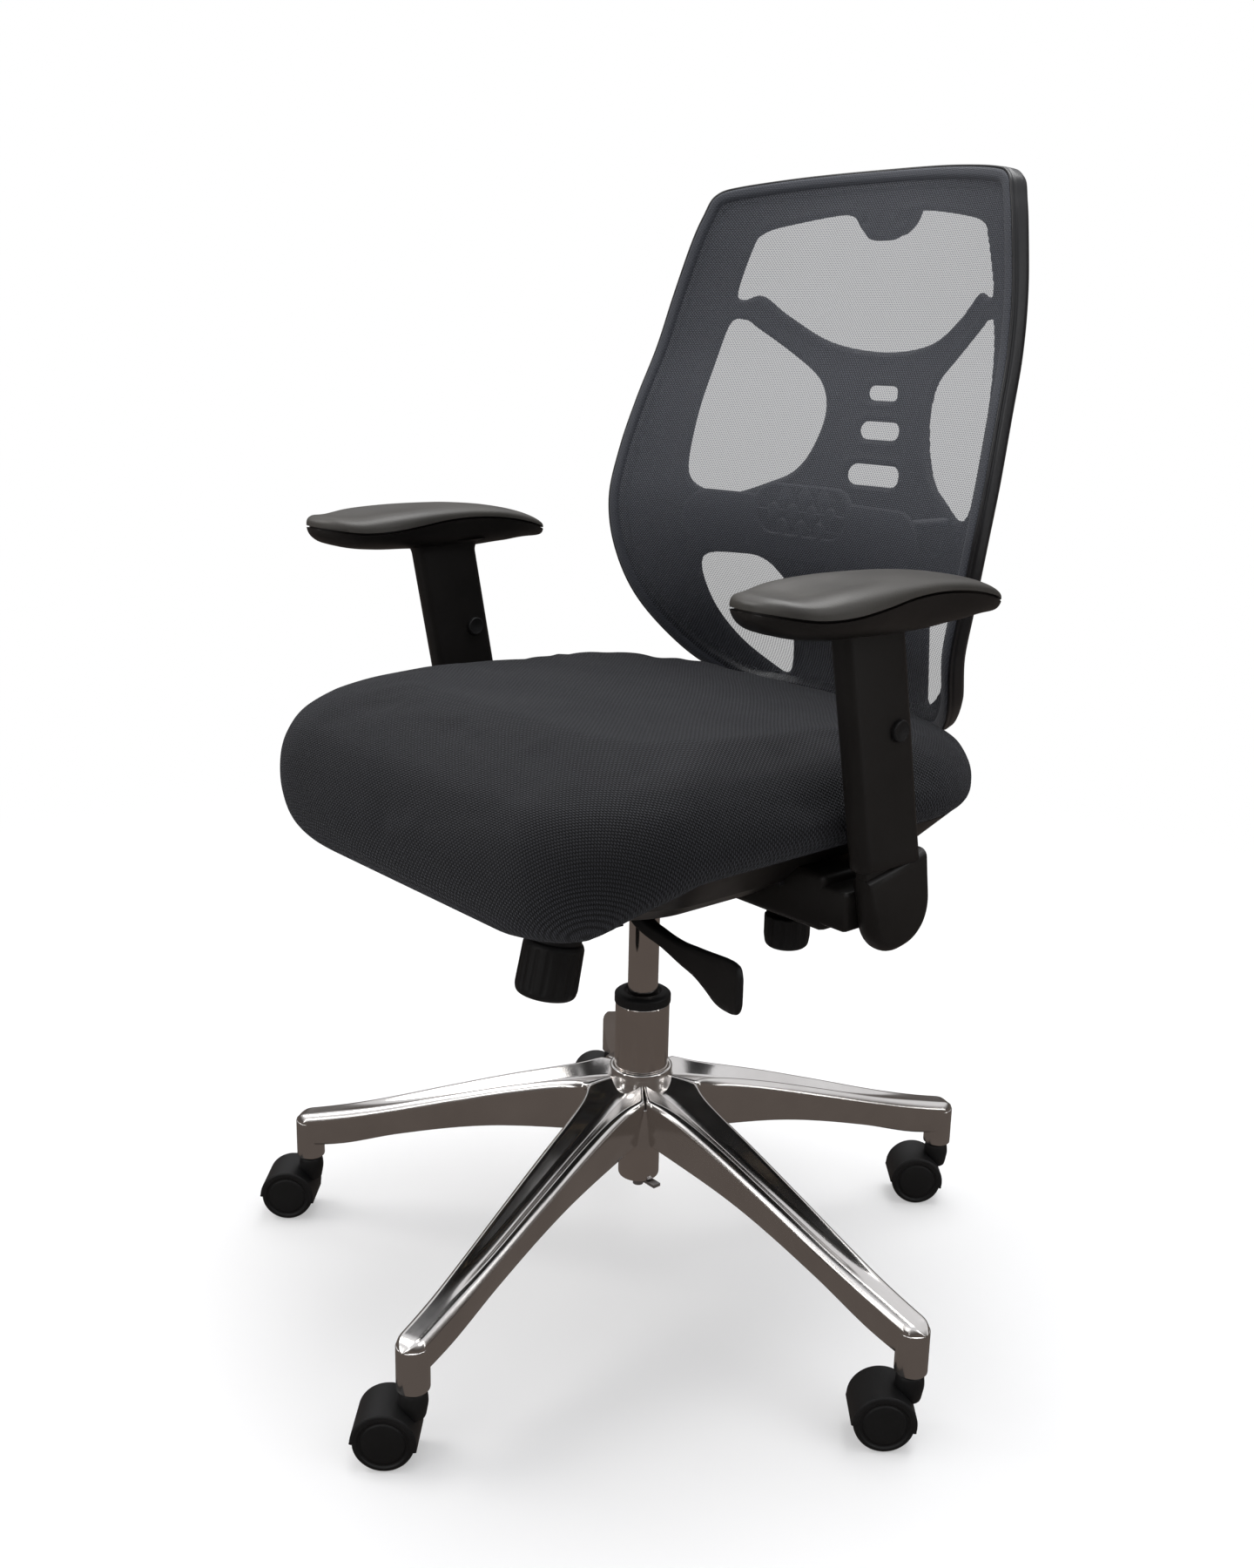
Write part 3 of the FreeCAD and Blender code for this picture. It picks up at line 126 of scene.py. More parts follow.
# ---- back: height, half width, y at the side edge, bow of the mesh, bow of the lattice ----
BACK_TABLE = [
    (0.480, 0.132, 0.2620, 0.016, 0.018),
    (0.495, 0.140, 0.2500, 0.026, 0.028),
    (0.550, 0.173, 0.1970, 0.046, 0.086),
    (0.600, 0.200, 0.1590, 0.040, 0.121),
    (0.650, 0.219, 0.1430, 0.033, 0.126),
    (0.700, 0.228, 0.1410, 0.030, 0.126),
    (0.750, 0.227, 0.1530, 0.030, 0.119),
    (0.800, 0.222, 0.1690, 0.032, 0.108),
    (0.850, 0.215, 0.1870, 0.035, 0.089),
    (0.900, 0.207, 0.1990, 0.038, 0.072),
    (0.950, 0.195, 0.2090, 0.042, 0.056),
    (1.000, 0.182, 0.2200, 0.046, 0.044),
    (1.030, 0.173, 0.2260, 0.048, 0.044),
]
BACK_OUTLINE = [
    (0.0, 0.505), (0.080, 0.505), (0.122, 0.509), (0.146, 0.521), (0.175, 0.550), (0.203, 0.600), (0.222, 0.650),
    (0.231, 0.700), (0.230, 0.750), (0.224, 0.800), (0.216, 0.850), (0.207, 0.900), (0.194, 0.950), (0.185, 0.976),
    (0.175, 0.995), (0.150, 1.003), (0.080, 1.010), (0.0, 1.012),
]
UPPER_WINDOW = [
    (0.0, 0.950), (0.018, 0.952), (0.028, 0.962), (0.044, 0.974), (0.108, 0.966), (0.134, 0.958), (0.143, 0.944),
    (0.156, 0.905), (0.150, 0.897), (0.132, 0.901), (0.106, 0.882), (0.061, 0.858), (0.0, 0.850),
]
MIDDLE_WINDOW = [
    (0.163, 0.872), (0.148, 0.878), (0.136, 0.870), (0.104, 0.848), (0.076, 0.826), (0.066, 0.806), (0.066, 0.782),
    (0.076, 0.752), (0.090, 0.733), (0.110, 0.722), (0.142, 0.709), (0.165, 0.712), (0.180, 0.728), (0.181, 0.770),
    (0.176, 0.815),
]
LOWER_WINDOW = [
    (0.162, 0.644), (0.132, 0.649), (0.114, 0.646), (0.100, 0.634), (0.089, 0.612), (0.087, 0.560), (0.090, 0.530),
    (0.104, 0.534), (0.132, 0.560), (0.154, 0.600),
]
# height of the middle, half width, half height
SPINE_SLOTS = [(0.812, 0.018, 0.007), (0.777, 0.024, 0.0085), (0.735, 0.032, 0.0100)]
LATTICE_SETBACK = 0.004
HEADREST_X, HEADREST_Z = 0.0225, 0.969
HEADREST_HOLE_R = 0.0035
LUMBAR_Z = 0.704
LUMBAR_DISC_PITCH = 0.024

# ---- arms ----
ARM_X = 0.273
PAD_X = 0.285
ARM_LEAN = math.radians(10.9)
ARM_FOOT = Vector((0, 0.008, 0.443))
ARM_SEAM_Z = 0.469
PAD_FRONT = -0.168
PAD_REAR = 0.1015
PAD_LENGTH_SHARE = 0.972
PAD_REAR_DROP = 0.004
# y, half width, height of the seam, rise of the crown, depth of the underside
PAD_TABLE = [
    (-0.168, 0.0460, 0.6810, 0.0100, 0.0120),
    (-0.138, 0.0465, 0.6775, 0.0140, 0.0170),
    (-0.112, 0.0475, 0.6785, 0.0175, 0.0210),
    (-0.080, 0.0455, 0.6820, 0.0165, 0.0260),
    (-0.040, 0.0400, 0.6868, 0.0120, 0.0330),
    (0.000, 0.0345, 0.6880, 0.0100, 0.0340),
    (0.040, 0.0315, 0.6852, 0.0092, 0.0270),
    (0.074, 0.0295, 0.6790, 0.0084, 0.0180),
    (0.102, 0.0280, 0.6710, 0.0070, 0.0120),
]


# ------------------------------------------------------------------ shapes
def through(table, at):
    """Smooth curve through the rows of a table: cubic pieces whose slope at each row is the chord of its neighbours.

    The first column is the place, and the result has one entry for each further column."""
    rows = np.array(table, float)
    at = np.asarray(at, float)
    slope = np.gradient(rows[:, 1:], rows[:, 0], axis=0)
    i = np.clip(np.searchsorted(rows[:, 0], at) - 1, 0, len(rows) - 2)
    span = rows[i + 1, 0] - rows[i, 0]
    t = np.clip((at - rows[i, 0]) / span, 0, 1)[..., None]
    span = span[..., None]
    value = ((2 * t**3 - 3 * t**2 + 1) * rows[i, 1:] + (t**3 - 2 * t**2 + t) * span * slope[i]
             + (3 * t**2 - 2 * t**3) * rows[i + 1, 1:] + (t**3 - t**2) * span * slope[i + 1])
    return np.moveaxis(value, -1, 0)


def closed_curve(corners, count):
    """Closed smooth curve through corners: Catmull-Rom pieces, sampled a count of times between corners."""
    p = np.array(corners, float)
    before, after, beyond = np.roll(p, 1, 0), np.roll(p, -1, 0), np.roll(p, -2, 0)
    t = np.linspace(0, 1, count, endpoint=False)[None, :, None]
    a, b, c, d = (q[:, None, :] for q in (before, p, after, beyond))
    curve = 0.5 * (2 * b + (c - a) * t + (2 * a - 5 * b + 4 * c - d) * t**2 + (3 * b - a - 3 * c + d) * t**3)
    return curve.reshape(-1, p.shape[1])


def mirrored(half):
    """Closed outline from a half that starts and ends on the middle line."""
    return list(half) + [(-x, z) for x, z in reversed(half[1:-1])]


def softened(corners, radius, steps=5):
    """Closed outlines with each corner replaced by a parabola that leaves its two sides a radius away.

    corners is (..., points, dimensions) and radius is one number, or one for each corner."""
    p = np.asarray(corners, float)
    before, after = np.roll(p, 1, -2) - p, np.roll(p, -1, -2) - p
    reach = np.broadcast_to(np.asarray(radius, float), p.shape[:-1])
    long_in = np.linalg.norm(before, axis=-1)
    long_out = np.linalg.norm(after, axis=-1)
    cut = np.minimum(reach, 0.48 * np.minimum(long_in, long_out))
    start = p + before * (cut / np.maximum(long_in, 1e-9))[..., None]
    end = p + after * (cut / np.maximum(long_out, 1e-9))[..., None]
    t = np.linspace(0, 1, steps)[:, None]
    arc = ((1 - t)**2 * start[..., None, :] + 2 * t * (1 - t) * p[..., None, :] + t**2 * end[..., None, :])
    return arc.reshape(*p.shape[:-2], -1, p.shape[-1])


def softened_path(points, radius, steps=5):
    """Open path with its inner corners rounded as softened() does, and its two ends kept."""
    p = np.array(points, float)
    rounded = softened(p, radius, steps).reshape(len(p), steps, -1)
    return np.concatenate([p[:1], rounded[1:-1].reshape(-1, p.shape[1]), p[-1:]])


def grid_faces(rows, cols, wrap_rows=False, wrap_cols=True):
    """Quads of a grid of points: each joins a point, the next in its row, and the two in the row after."""
    r, c = np.meshgrid(np.arange(rows if wrap_rows else rows - 1), np.arange(cols if wrap_cols else cols - 1),
                       indexing="ij")
    r2, c2 = (r + 1) % rows, (c + 1) % cols
    return np.stack([r * cols + c, r * cols + c2, r2 * cols + c2, r2 * cols + c], -1).reshape(-1, 4).tolist()


def loft(rings, closed=False):
    """Skin over rings of points, with a flat cap on each end unless it closes on itself."""
    rings = np.asarray(rings, float)
    rows, cols = rings.shape[:2]
    faces = grid_faces(rows, cols, wrap_rows=closed)
    if not closed:
        faces.append(list(range(cols)))
        faces.append(list(range((rows - 1) * cols, rows * cols)))
    return rings.reshape(-1, 3), faces


def turned(profile, radius=0.0008, centre=(0, 0, 0), axis=(0, 0, 1), cols=64, flutes=0, flute_depth=0.0,
           fluted=(0.0, 0.0), steps=4):
    """Profile of (radius, height) points spun about an axis, with its corners rounded.

    Flutes push the skin in by a raised cosine of the angle, between two heights."""
    path = softened_path(profile, radius, steps)
    angle = np.linspace(0, 2 * np.pi, cols, endpoint=False)
    r = np.maximum(path[:, :1], 1e-5) * np.ones(cols)
    if flutes:
        ease = 0.003
        inside = np.clip((path[:, 1] - fluted[0]) / ease, 0, 1) * np.clip((fluted[1] - path[:, 1]) / ease, 0, 1)
        wave = np.clip(np.cos(angle * flutes), 0, 1) ** 0.7
        outer = path[:, 0] > 0.8 * path[:, 0].max()
        r = r - (inside * outer)[:, None] * flute_depth * wave
    rings = np.stack([r * np.cos(angle), r * np.sin(angle), path[:, 1:] * np.ones(cols)], -1)
    turn = np.array(Vector((0, 0, 1)).rotation_difference(Vector(axis)).to_matrix())
    return loft(rings @ turn.T + np.array(centre))


def tube(profile, radius=0.0008, centre=(0, 0, 0), axis=(0, 0, 1), cols=64):
    """Closed profile of (radius, height) points spun about an axis into a ring, with its corners rounded."""
    ring = softened(profile, radius, 4)
    angle = np.linspace(0, 2 * np.pi, cols, endpoint=False)
    r, h = ring[:, 0], ring[:, 1]
    rings = np.stack([np.outer(np.cos(angle), r), np.outer(np.sin(angle), r), np.outer(np.ones(cols), h)], -1)
    turn = np.array(Vector((0, 0, 1)).rotation_difference(Vector(axis)).to_matrix())
    return loft(rings @ turn.T + np.array(centre), closed=True)


def slab(outline, half_thick, edge=0.002, steps=4):
    """Flat plate in its own XY plane, from a closed outline, with edges rounded by a quarter circle on each face.

    Each ring is the outline moved in along its normals by the circle's rise."""
    p = np.asarray(outline, float)
    along = np.roll(p, -1, 0) - np.roll(p, 1, 0)
    along /= np.maximum(np.linalg.norm(along, axis=1), 1e-9)[:, None]
    normal = np.stack([along[:, 1], -along[:, 0]], 1)
    area = np.sum(p[:, 0] * np.roll(p[:, 1], -1) - np.roll(p[:, 0], -1) * p[:, 1])
    normal *= np.sign(area)
    angle = np.linspace(np.pi / 2, 0, steps)
    levels = [(edge * (1 - math.cos(a)), -(half_thick - edge) - edge * math.sin(a)) for a in angle]
    levels += [(inward, -height) for inward, height in reversed(levels)]
    rings = [np.column_stack([p - normal * inward, np.full(len(p), height)]) for inward, height in levels]
    return loft(rings)


def placed(shell, columns, origin=(0, 0, 0)):
    """Shell whose own X, Y and Z axes become three directions, moved to an origin."""
    points, faces = shell
    return points @ np.array(columns, float) + np.array(origin, float), faces


def swept(path, sides, section):
    """Section of (side, up) points carried along a path; sides gives the sideways direction at each point.

    Up is the cross product of the path's direction and the sideways one. section is one outline or one for each
    point of the path."""
    path = np.asarray(path, float)
    along = np.gradient(path, axis=0)
    along /= np.linalg.norm(along, axis=1)[:, None]
    sides = np.broadcast_to(np.asarray(sides, float), path.shape)
    up = np.cross(along, sides)
    up /= np.linalg.norm(up, axis=1)[:, None]
    section = np.asarray(section, float)
    if section.ndim == 2:
        section = np.broadcast_to(section, (len(path), *section.shape))
    return path[:, None] + section[..., :1] * sides[:, None] + section[..., 1:] * up[:, None]


def rectangle(half_u, half_v):
    """Corners of a rectangle about its middle."""
    return np.array([(half_u, half_v), (-half_u, half_v), (-half_u, -half_v), (half_u, -half_v)], float)


def rounded_bar(x, y, z, radius=0.003, axis=0):
    """Box between the two values on each axis, its long edges and its ends rounded, long along one axis."""
    spans = [x, y, z]
    order = [axis, (axis + 1) % 3, (axis + 2) % 3]
    low, high = spans[order[0]]
    mid = [(spans[k][0] + spans[k][1]) / 2 for k in order[1:]]
    half = [(spans[k][1] - spans[k][0]) / 2 for k in order[1:]]
    angle = np.linspace(np.pi / 2, 0, 4)
    rings = []
    for sign, end in ((-1, low), (1, high)):
        for a in angle if sign < 0 else angle[::-1]:
            inward = radius * (1 - math.cos(a))
            place = end - sign * radius * (1 - math.sin(a))
            outline = softened(rectangle(half[0] - inward, half[1] - inward), radius, 4)
            ring = np.empty((len(outline), 3))
            ring[:, order[0]] = place
            ring[:, order[1]] = mid[0] + outline[:, 0]
            ring[:, order[2]] = mid[1] + outline[:, 1]
            rings.append(ring)
    return loft(rings)


def distance_inside(outline, x, z):
    """Signed distance from each place to a closed outline, positive inside.

    The distance is the least over the outline's segments, and a place is inside if its ray crosses them an odd
    number of times."""
    a = np.asarray(outline, float)
    b = np.roll(a, -1, 0)
    nearest = np.full(x.shape, 1e9)
    inside = np.zeros(x.shape, bool)
    for (ax, az), (bx, bz) in zip(a, b):
        dx, dz = bx - ax, bz - az
        t = np.clip(((x - ax) * dx + (z - az) * dz) / max(dx * dx + dz * dz, 1e-12), 0, 1)
        nearest = np.minimum(nearest, np.hypot(x - ax - t * dx, z - az - t * dz))
        if az != bz:
            crosses = ((az > z) != (bz > z)) & (x < ax + (z - az) * dx / dz)
            inside ^= crosses
    return np.where(inside, nearest, -nearest)


def slot_outline(z, half_wide, half_high, count=12, x=0.0):
    """Outline of a slot with round ends."""
    angle = np.linspace(-np.pi / 2, np.pi / 2, count)
    middle = half_wide - half_high
    right = np.column_stack([x + middle + half_high * np.cos(angle), z + half_high * np.sin(angle)])
    left = np.column_stack([x - middle - half_high * np.cos(angle), z - half_high * np.sin(angle)])
    return np.concatenate([right, left])


def plate(field, place, x_span, z_span, cell, thickness=0.0, edge=0.003, bead=0.0):
    """Curved plate of any outline, with holes, from a signed distance field that is positive in the material.

    Grid cells whose corners all lie inside are kept, and the corners on their border move along the field's
    slope onto its zero line. The two faces stand off the surface along its normal by half the thickness, which
    rises from nothing at the border as a quarter circle, and a bead thickens the border. Returns the shell and
    the flat (x, z) place of each point. With no thickness it is a single sheet."""
    xs = np.arange(x_span[0], x_span[1] + cell, cell)
    zs = np.arange(z_span[0], z_span[1] + cell, cell)
    x, z = np.meshgrid(xs, zs, indexing="ij")
    depth = field(x, z)
    inside = depth > -0.35 * cell
    kept = inside[:-1, :-1] & inside[1:, :-1] & inside[1:, 1:] & inside[:-1, 1:]
    around = np.zeros(x.shape, int)
    for i in (0, 1):
        for j in (0, 1):
            around[i:i + kept.shape[0], j:j + kept.shape[1]] += kept
    border = (around > 0) & (around < 4)
    loose = border | ((around == 4) & (depth < 0.3 * cell))
    for _ in range(3):
        slope_x = (field(x + 1e-4, z) - field(x - 1e-4, z)) / 2e-4
        slope_z = (field(x, z + 1e-4) - field(x, z - 1e-4)) / 2e-4
        steep = np.maximum(slope_x**2 + slope_z**2, 0.25)
        depth = field(x, z)
        x = np.where(loose, x - depth * slope_x / steep, x)
        z = np.where(loose, z - depth * slope_z / steep, z)
    depth = np.where(border, 0, np.maximum(field(x, z), 0))
    used = around > 0
    number = np.full(x.shape, -1)
    number[used] = np.arange(used.sum())
    cells = np.stack([number[:-1, :-1], number[1:, :-1], number[1:, 1:], number[:-1, 1:]], -1)[kept]
    flat = np.column_stack([x[used], z[used]])
    middle = place(*flat.T)
    if not thickness:
        return (middle, cells.tolist()), flat
    step = 5e-4
    normal = np.cross(place(flat[:, 0], flat[:, 1] + step) - middle, place(flat[:, 0] + step, flat[:, 1]) - middle)
    normal /= np.linalg.norm(normal, axis=1)[:, None]
    depth = depth[used]
    rise = np.sqrt(np.maximum(1 - (1 - np.minimum(depth / edge, 1))**2, 0))
    swell = bead * np.exp(-((depth - 0.0045) / 0.003)**2)
    half = (thickness / 2 * rise + swell * rise)[:, None]
    edge_point = border[used]
    back_number = np.arange(len(flat))
    back_number[~edge_point] = len(flat) + np.arange((~edge_point).sum())
    points = np.concatenate([middle - normal * half, (middle + normal * half)[~edge_point]])
    faces = cells.tolist() + back_number[cells[:, ::-1]].tolist()
    return (points, faces), np.concatenate([flat, flat[~edge_point]])


# ------------------------------------------------------------------ pieces
def piece(name, shells, material, body, stands_for=(), sharp=None, closed=True):
    """One Blender object from shells, with its faces turned outwards, its finish and the body that it rides on."""
    points, faces, start = [], [], 0
    for shell_points, shell_faces in shells:
        points.append(np.asarray(shell_points, float))
        faces += [[start + i for i in face] for face in shell_faces]
        start += len(shell_points)
    mesh = bpy.data.meshes.new(name)
    mesh.from_pydata(np.concatenate(points).tolist(), [], faces)
    if closed:
        work = bmesh.new()
        work.from_mesh(mesh)
        bmesh.ops.remove_doubles(work, verts=work.verts, dist=2e-6)
        bmesh.ops.recalc_face_normals(work, faces=work.faces)
        work.to_mesh(mesh)
        work.free()
    mesh.shade_smooth()
    if sharp:
        mesh.set_sharp_from_angle(angle=math.radians(sharp))
    obj = bpy.data.objects.new(name, mesh)
    bpy.context.scene.collection.objects.link(obj)
    mesh.materials.append(material)
    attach(obj, body)
    if stands_for:
        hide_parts(*stands_for)
    return obj


def points_of(obj):
    """Places of a mesh's points as an array."""
    flat = np.empty(len(obj.data.vertices) * 3, np.float32)
    obj.data.vertices.foreach_get("co", flat)
    return flat.reshape(-1, 3).astype(float)


def set_uv(obj, per_point):
    """UV map from one pair of numbers for each point."""
    mesh = obj.data
    layer = mesh.uv_layers.new(name="UVMap")
    corner = np.empty(len(mesh.loops), np.int32)
    mesh.loops.foreach_get("vertex_index", corner)
    layer.data.foreach_set("uv", np.asarray(per_point, np.float32)[corner].ravel())


# ------------------------------------------------------------------ shader effects
def new_group(name, inputs, outputs):
    """Empty shader node group with named value, vector or colour sockets."""
    kinds = {"value": "NodeSocketFloat", "vector": "NodeSocketVector", "color": "NodeSocketColor"}
    group = bpy.data.node_groups.new(name, "ShaderNodeTree")
    for socket, kind, default in inputs:
        made = group.interface.new_socket(socket, in_out="INPUT", socket_type=kinds[kind])
        if default is not None:
            made.default_value = default
    for socket, kind in outputs:
        group.interface.new_socket(socket, in_out="OUTPUT", socket_type=kinds[kind])
    nodes = group.nodes
    return group, nodes.new("NodeGroupInput"), nodes.new("NodeGroupOutput")


def add(tree, kind, values=None, links=None, **settings):
    """Node in a tree, with its settings, its input values, and the sockets that feed its inputs."""
    node = tree.nodes.new(kind)
    for key, value in settings.items():
        setattr(node, key, value)
    for key, value in (values or {}).items():
        node.inputs[key].default_value = value
    for key, socket in (links or {}).items():
        tree.links.new(socket, node.inputs[key])
    return node


def drift_group():
    """Slow random drift over the surface: fractal noise stretched to fill a low and a high value."""
    group, gin, gout = new_group("surface_drift", [
        ("Vector", "vector", None), ("Scale", "value", 8.0), ("Low", "value", 0.2), ("High", "value", 0.4),
    ], [("Value", "value"), ("Mask", "value")])
    noise = add(group, "ShaderNodeTexNoise", {"Detail": 5.0, "Roughness": 0.6},
                {"Vector": gin.outputs["Vector"], "Scale": gin.outputs["Scale"]})
    mask = add(group, "ShaderNodeMapRange", {"From Min": 0.3, "From Max": 0.7}, {"Value": noise.outputs["Fac"]})
    value = add(group, "ShaderNodeMapRange", None, {
        "Value": mask.outputs["Result"], "To Min": gin.outputs["Low"], "To Max": gin.outputs["High"]})
    group.links.new(value.outputs["Result"], gout.inputs["Value"])
    group.links.new(mask.outputs["Result"], gout.inputs["Mask"])
    return group


def grain_group():
    """Moulded grain: cells of a Voronoi pattern with rounded tops, and finer noise on them."""
    group, gin, gout = new_group("moulded_grain", [
        ("Vector", "vector", None), ("Scale", "value", 900.0), ("Fine", "value", 0.3),
    ], [("Height", "value")])
    cells = add(group, "ShaderNodeTexVoronoi", None,
                {"Vector": gin.outputs["Vector"], "Scale": gin.outputs["Scale"]}, feature="SMOOTH_F1")
    fine_scale = add(group, "ShaderNodeMath", {1: 2.7}, {0: gin.outputs["Scale"]}, operation="MULTIPLY")
    noise = add(group, "ShaderNodeTexNoise", {"Detail": 2.0},
                {"Vector": gin.outputs["Vector"], "Scale": fine_scale.outputs[0]})
    part = add(group, "ShaderNodeMath", None, {0: noise.outputs["Fac"], 1: gin.outputs["Fine"]}, operation="MULTIPLY")
    total = add(group, "ShaderNodeMath", None, {0: cells.outputs["Distance"], 1: part.outputs[0]}, operation="ADD")
    group.links.new(total.outputs[0], gout.inputs["Height"])
    return group


def yarn_group():
    """Rows of stitches: a raised sine across the rows, broken along each row by a second sine that is shifted
    by half a stitch on every other row. Mask is 1 on the yarn and 0 in the gaps."""
    group, gin, gout = new_group("yarn_rows", [
        ("Vector", "vector", None), ("Rows", "value", 400.0), ("Stitches", "value", 300.0),
    ], [("Height", "value"), ("Mask", "value")])
    parts = add(group, "ShaderNodeSeparateXYZ", None, {0: gin.outputs["Vector"]})
    row = add(group, "ShaderNodeMath", None, {0: parts.outputs["Y"], 1: gin.outputs["Rows"]}, operation="MULTIPLY")
    along = add(group, "ShaderNodeMath", None, {0: parts.outputs["X"], 1: gin.outputs["Stitches"]},
                operation="MULTIPLY")
    whole = add(group, "ShaderNodeMath", None, {0: row.outputs[0]}, operation="FLOOR")
    half = add(group, "ShaderNodeMath", {1: 0.5}, {0: whole.outputs[0]}, operation="MULTIPLY")
    shifted = add(group, "ShaderNodeMath", None, {0: along.outputs[0], 1: half.outputs[0]}, operation="ADD")
    waves = []
    for source in (row, shifted):
        turn = add(group, "ShaderNodeMath", {1: 2 * math.pi}, {0: source.outputs[0]}, operation="MULTIPLY")
        cosine = add(group, "ShaderNodeMath", None, {0: turn.outputs[0]}, operation="COSINE")
        waves.append(add(group, "ShaderNodeMapRange", {"From Min": 1.0, "From Max": -1.0},
                         {"Value": cosine.outputs[0]}))
    both = add(group, "ShaderNodeMath", None, {0: waves[0].outputs[0], 1: waves[1].outputs[0]}, operation="MULTIPLY")
    root = add(group, "ShaderNodeMath", {1: 0.6}, {0: both.outputs[0]}, operation="POWER")
    mask = add(group, "ShaderNodeMapRange", {"From Min": 0.25, "From Max": 0.75}, {"Value": root.outputs[0]},
               interpolation_type="SMOOTHSTEP")
    group.links.new(root.outputs[0], gout.inputs["Height"])
    group.links.new(mask.outputs["Result"], gout.inputs["Mask"])
    return group


DRIFT = drift_group()
GRAIN = grain_group()
YARN = yarn_group()


def effect(tree, group, values=None, links=None):
    """A shader effect placed in a material."""
    return add(tree, "ShaderNodeGroup", values, links, node_tree=group)


def new_material(name, color, roughness, metallic=0.0, **sockets):
    """Material with one Principled shader, its plain values set on its own sockets, and Object coordinates."""
    material = bpy.data.materials.new(name)
    material.use_nodes = True
    tree = material.node_tree
    tree.nodes.clear()
    out = tree.nodes.new("ShaderNodeOutputMaterial")
    shader = tree.nodes.new("ShaderNodeBsdfPrincipled")
    tree.links.new(shader.outputs[0], out.inputs[0])
    shader.inputs["Base Color"].default_value = (*color, 1)
    shader.inputs["Roughness"].default_value = roughness
    shader.inputs["Metallic"].default_value = metallic
    for key, value in sockets.items():
        shader.inputs[key.replace("_", " ")].default_value = value
    place = tree.nodes.new("ShaderNodeTexCoord").outputs["Object"]
    return material, tree, shader, place


def drifting(tree, shader, place, scale, low, high, color_a=None, color_b=None):
    """Roughness that drifts over the surface, and colour with it."""
    drift = effect(tree, DRIFT, {"Scale": scale, "Low": low, "High": high}, {"Vector": place})
    tree.links.new(drift.outputs["Value"], shader.inputs["Roughness"])
    if color_a:
        tint(tree, shader, drift.outputs["Mask"], color_a, color_b)


def tint(tree, shader, mask, color_a, color_b):
    """Base colour that goes from one colour to another with a mask."""
    mix = tree.nodes.new("ShaderNodeMix")
    mix.data_type = "RGBA"
    mix.inputs[6].default_value = (*color_a, 1)
    mix.inputs[7].default_value = (*color_b, 1)
    tree.links.new(mask, mix.inputs[0])
    tree.links.new(mix.outputs[2], shader.inputs["Base Color"])


def grained(tree, shader, place, scale, depth, fine=0.3):
    """Bump of a moulded grain, its depth in metres."""
    grain = effect(tree, GRAIN, {"Scale": scale, "Fine": fine}, {"Vector": place})
    bump = add(tree, "ShaderNodeBump", {"Strength": 1.0, "Distance": depth}, {"Height": grain.outputs["Height"]})
    tree.links.new(bump.outputs["Normal"], shader.inputs["Normal"])


def polished_metal(name, color_a, color_b, low, high):
    """Metal whose roughness drifts between two values, with a faint brushed bump."""
    material, tree, shader, place = new_material(name, color_a, low, metallic=1.0)
    drifting(tree, shader, place, 14.0, low, high, color_a, color_b)
    brushed = add(tree, "ShaderNodeTexNoise", {"Scale": 260.0, "Detail": 3.0}, {"Vector": place})
    bump = add(tree, "ShaderNodeBump", {"Strength": 0.35, "Distance": 0.00008}, {"Height": brushed.outputs["Fac"]})
    tree.links.new(bump.outputs["Normal"], shader.inputs["Normal"])
    return material


def moulded_plastic(name, color_a, color_b, low, high, grain=900.0, depth=0.00005, **sockets):
    """Plastic or paint whose roughness drifts between two values, with a moulded grain."""
    material, tree, shader, place = new_material(name, color_a, low, **sockets)
    drifting(tree, shader, place, 11.0, low, high, color_a, color_b)
    grained(tree, shader, place, grain, depth)
    return material


def seat_knit():
    """Black spacer knit: lighter yarn rows over darker gaps, on the cushion's UV map in metres."""
    material, tree, shader, place = new_material("seat_knit", (0.02, 0.02, 0.022), 0.85, Sheen_Weight=0.06,
                                                 Sheen_Roughness=0.5, Sheen_Tint=(0.75, 0.78, 0.88, 1),
                                                 Specular_IOR_Level=0.2)
    uv = add(tree, "ShaderNodeUVMap", uv_map="UVMap").outputs["UV"]
    yarn = effect(tree, YARN, {"Rows": 440.0, "Stitches": 228.0}, {"Vector": uv})
    drift = effect(tree, DRIFT, {"Scale": 9.0, "Low": 0.78, "High": 0.92}, {"Vector": place})
    tree.links.new(drift.outputs["Value"], shader.inputs["Roughness"])
    tint(tree, shader, yarn.outputs["Mask"], (0.0032, 0.0032, 0.0037), (0.0205, 0.021, 0.0245))
    bump = add(tree, "ShaderNodeBump", {"Strength": 1.0, "Distance": 0.0010}, {"Height": yarn.outputs["Height"]})
    tree.links.new(bump.outputs["Normal"], shader.inputs["Normal"])
    return material


